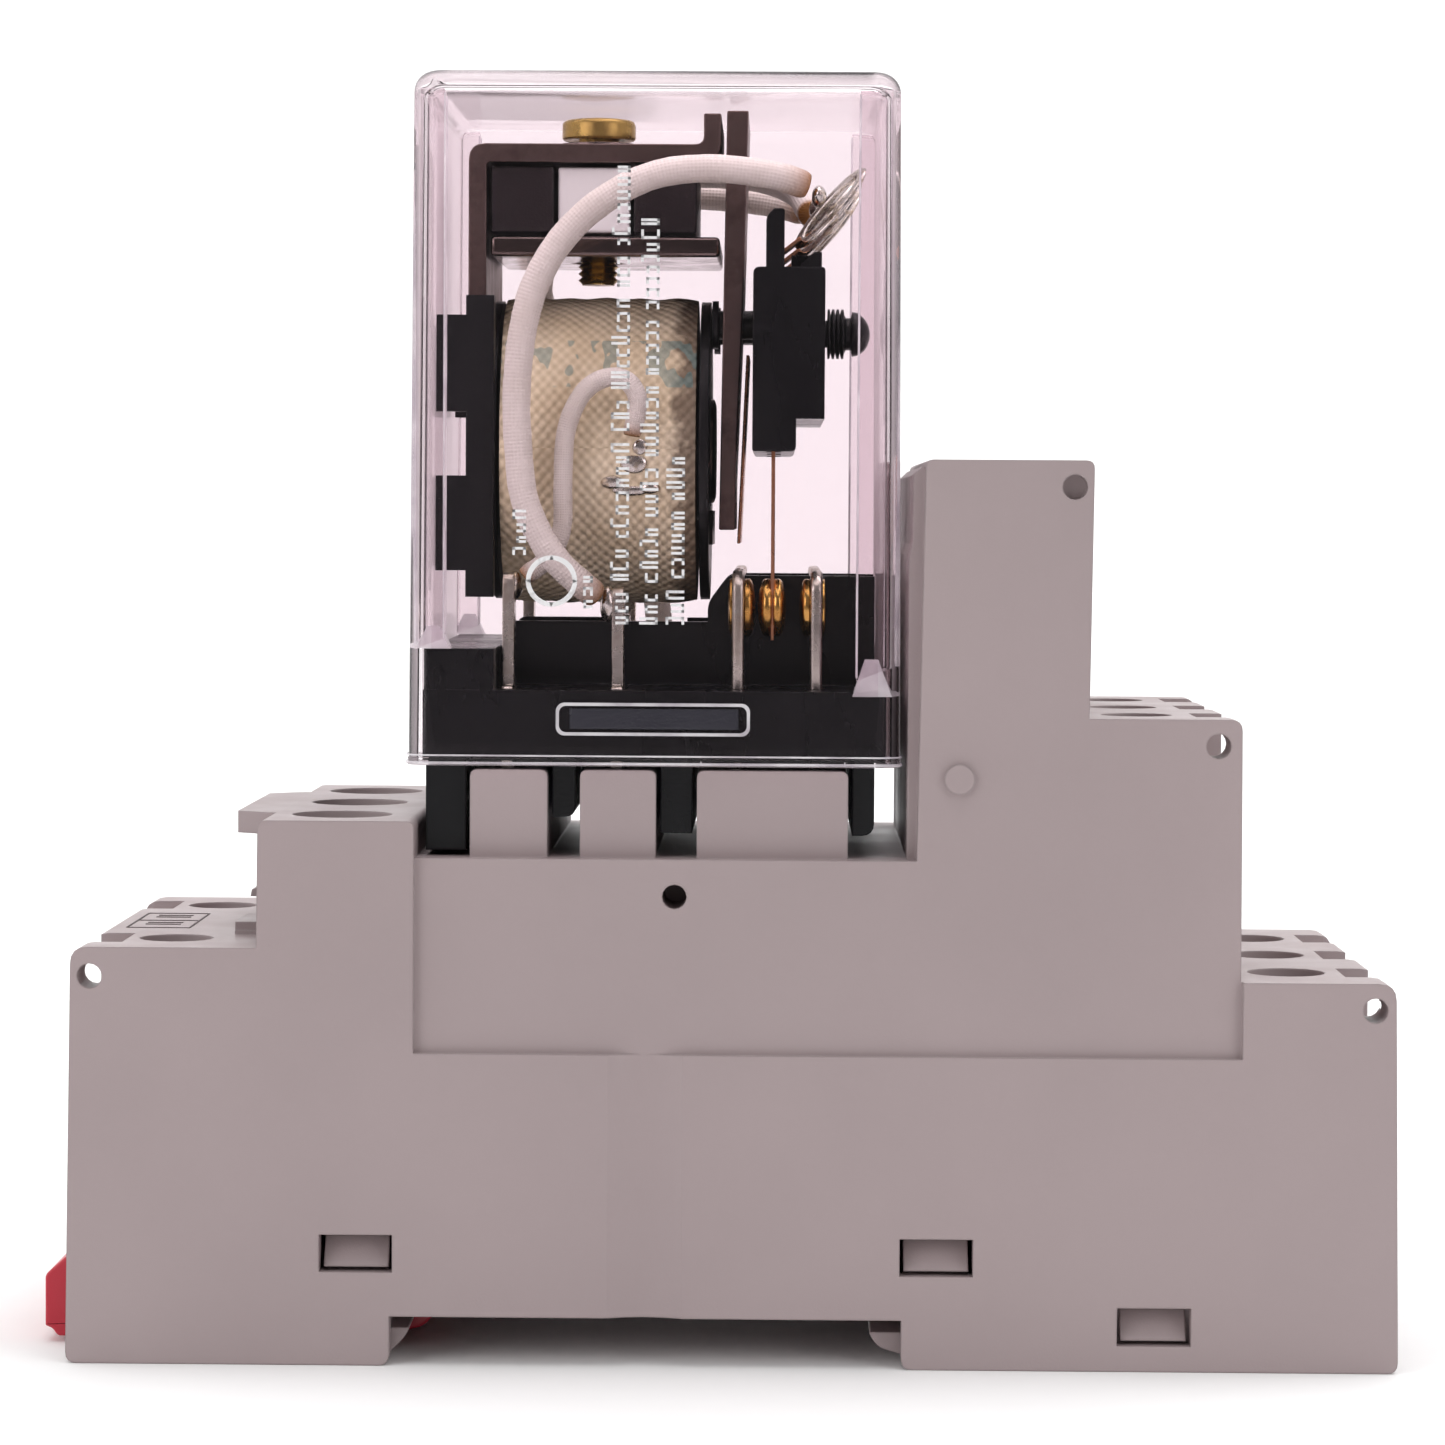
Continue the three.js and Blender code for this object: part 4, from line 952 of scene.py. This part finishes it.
def make_lead(name, route, radius, node, flux_length=2.4):
    """A sleeved lead: a tube that narrows at its cut ends, stained by flux near them."""
    path = smooth_path(route, 12)
    length = np.concatenate([[0.0], np.cumsum(np.linalg.norm(np.diff(path, axis=0), axis=1))])
    to_end = np.minimum(length, length[-1] - length)
    radii = radius * (0.86 + 0.14 * np.clip(to_end / 0.5, 0, 1) ** 0.5)
    radii *= 1 + 0.012 * np.sin(length * 2.1) + 0.008 * np.sin(length * 5.3)
    sides = 24
    points, faces = swept(path, radii, sides)
    mesh = outward(mesh_from(name, points, faces))
    stain = np.clip(1 - to_end / flux_length, 0, 1) ** 1.5
    mesh.attributes.new("flux", "FLOAT", "POINT").data.foreach_set(
        "value", np.repeat(stain, sides).astype(np.float32))
    layer = mesh.uv_layers.new(name="along")
    rings = np.arange(len(points)) // sides
    turn = (np.arange(len(points)) % sides) / sides
    corner = np.zeros(len(mesh.loops), np.int32)
    mesh.loops.foreach_get("vertex_index", corner)
    around = turn[corner]
    for polygon in mesh.polygons:
        span = slice(polygon.loop_start, polygon.loop_start + polygon.loop_total)
        if polygon.loop_total == 4 and np.ptp(around[span]) > 0.5:
            around[span] = np.where(around[span] < 0.5, around[span] + 1, around[span])
    uv = np.column_stack([length[rings[corner]] / (2 * math.pi * radius), around])
    layer.data.foreach_set("uv", uv.astype(np.float32).ravel())
    return add_piece(name, mesh, sleeve_cloth, "relay", [node])


def blob(centre, size, seed):
    """A lump of solder: a ball pulled out of round by a few slow waves over its surface."""
    rng = np.random.default_rng(seed)
    count, sides = 12, 20
    angles = np.linspace(0, 2 * np.pi, sides, endpoint=False)
    phases = rng.uniform(0, 6.28, 4)
    rings = []
    for polar in np.linspace(0.12, math.pi - 0.12, count):
        swell = (1 + 0.10 * np.sin(2 * angles + phases[0])
                 + 0.07 * np.sin(3 * angles + phases[1] + 2 * polar))
        rings.append(np.stack([
            centre[0] + size[0] * math.sin(polar) * np.cos(angles) * swell,
            centre[1] + size[1] * math.sin(polar) * np.sin(angles) * swell,
            np.full(sides, centre[2] + size[2] * math.cos(polar))], 1))
    return np.concatenate(rings), rings_to_faces(count, sides)


def make_leads():
    """All leads with the bare ends and solder that join them to posts and tabs."""
    make_lead("pole_lead_near", NEAR_POLE_ROUTE, 1.0, "common_lead_1")
    make_lead("pole_lead_far", FAR_POLE_ROUTE, 1.0, "common_lead_3")
    make_lead("pole_lead_middle", MIDDLE_ROUTE, 1.0, "common_lead_2")
    make_lead("coil_lead_near", NEAR_COIL_ROUTE, 0.68, "coil_lead_1", 1.2)
    make_lead("coil_lead_far", FAR_COIL_ROUTE, 0.68, "coil_lead_2", 1.2)
    lumps = [
        blob((-9.1, -12.9, 53.6), (0.55, 0.8, 1.3), 1), blob((-9.1, 12.9, 53.6), (0.55, 0.8, 1.3), 2),
        blob((-7.6, 0.6, 51.2), (0.5, 0.8, 0.9), 3), blob((-15.7, -12.4, 54.9), (0.5, 0.8, 1.0), 4),
        blob((-15.7, 12.4, 54.9), (0.5, 0.8, 1.0), 5),
    ]
    patches = ((-8.9, 62.3, 1.0, 0.5, 21), (-7.3, 63.6, 0.9, 0.7, 22), (-6.2, 61.9, 0.8, 0.45, 23),
               (-7.6, 61.7, 1.2, 0.4, 24), (-6.9, 64.8, 0.5, 0.6, 25))
    for x, z, wide, tall, seed in patches:
        depth = -math.sqrt(COIL_RADIUS ** 2 - (z - COIL_AXIS_Z) ** 2)
        lumps.append(blob((x, depth, z), (wide, 0.28, tall), seed))
    joints = outward(mesh_from("post_solder", *gather(lumps)))
    add_piece("post_solder", joints, solder, "relay")
    tips = [blob((5.75, y * 1.04, 82.6), (0.55, 1.2, 0.8), 7 + i) for i, y in enumerate(POLE_ROWS)]
    tinned = outward(mesh_from("tab_solder", *gather(tips)))
    add_piece("tab_solder", tinned, solder, "rocker")


# ---------------------------------------------------------------- room, light and camera

def make_room():
    """A pale floor that curves up behind the object into a plain wall."""
    curve = [[-900.0, -0.02]]
    for angle in np.radians(np.linspace(0, 90, 16)):
        curve.append([500 + 400 * math.sin(angle), 400 - 400 * math.cos(angle) - 0.02])
    curve.append([900.0, 1600.0])
    points = [[x, y, z] for y, z in curve for x in (-1500.0, 1500.0)]
    faces = [(2 * i, 2 * i + 1, 2 * i + 3, 2 * i + 2) for i in range(len(curve) - 1)]
    paper = Nodes("pale backdrop", (0.92, 0.92, 0.92), 0.9)
    tooth = paper.noise(paper.place(), 400.0, 4.0)
    paper.set("Base Color", paper.mix(tooth, (0.93, 0.93, 0.93), (0.91, 0.91, 0.91)))
    mesh = mesh_from("backdrop", points, faces)
    made = bpy.data.objects.new("backdrop", mesh)
    mesh.materials.append(paper.material)
    bpy.context.scene.collection.objects.link(made)


LAMPS = [
    # name, power, (width, height), position, aim, all in watts and metres
    ("overhead", 4.2, (0.9, 0.7), (0.1, -0.1, 0.85), (0, 0, 0.03)),
    ("front left", 2.4, (0.5, 0.5), (-0.62, -0.62, 0.42), (0, 0, 0.045)),
    ("front right", 2.0, (0.5, 0.5), (0.66, -0.62, 0.42), (0, 0, 0.045)),
    ("left side", 1.6, (0.8, 0.8), (-0.75, 0.15, 0.35), (0, 0.1, 0.05)),
    ("right side", 1.6, (0.8, 0.8), (0.75, 0.15, 0.35), (0, 0.1, 0.05)),
    ("wall", 8.0, (1.6, 0.8), (0.0, 0.25, 0.9), (0, 0.9, 0.35)),
]
WORLD_STRENGTH = 0.16


def add_lamp(name, power, size, position, aim):
    """A rectangular lamp that faces a point."""
    lamp = bpy.data.lights.new(name, "AREA")
    lamp.energy = power
    lamp.shape = "RECTANGLE"
    lamp.size, lamp.size_y = size
    made = bpy.data.objects.new(name, lamp)
    made.location = position
    made.rotation_euler = (Vector(aim) - Vector(position)).to_track_quat("-Z", "Y").to_euler()
    bpy.context.scene.collection.objects.link(made)


def make_light():
    """Soft lamps round the object, one more for the wall, and a faint even glow."""
    world = bpy.data.worlds.new("studio")
    world.use_nodes = True
    world.node_tree.nodes["Background"].inputs[0].default_value = (1.0, 0.985, 0.985, 1.0)
    world.node_tree.nodes["Background"].inputs[1].default_value = WORLD_STRENGTH
    bpy.context.scene.world = world
    for lamp in LAMPS:
        add_lamp(*lamp)
    bpy.context.scene.view_settings.view_transform = "Standard"


def make_camera():
    """A long lens level with the middle of the relay, turned a little down."""
    camera = bpy.data.cameras.new("camera")
    camera.lens = 106.95
    camera.sensor_width = 36.0
    camera.clip_start = 0.01
    made = bpy.data.objects.new("camera", camera)
    yaw, pitch, roll = (math.radians(a) for a in (0.72, -2.77, -0.35))
    turn = Matrix.Rotation(yaw, 3, "Z") @ Matrix.Rotation(pitch, 3, "X") @ Matrix.Rotation(roll, 3, "Y")
    right, forward, up = turn.col
    made.matrix_world = Matrix((right, up, -forward)).transposed().to_4x4()
    made.location = to_frame([3.0, -319.25, 60.0])
    bpy.context.scene.collection.objects.link(made)
    bpy.context.scene.camera = made


make_camera()
make_light()
make_room()
make_socket()
make_terminals()
make_cover()
make_motor()
make_base()
make_fixed_contacts()
make_armature()
make_leads()
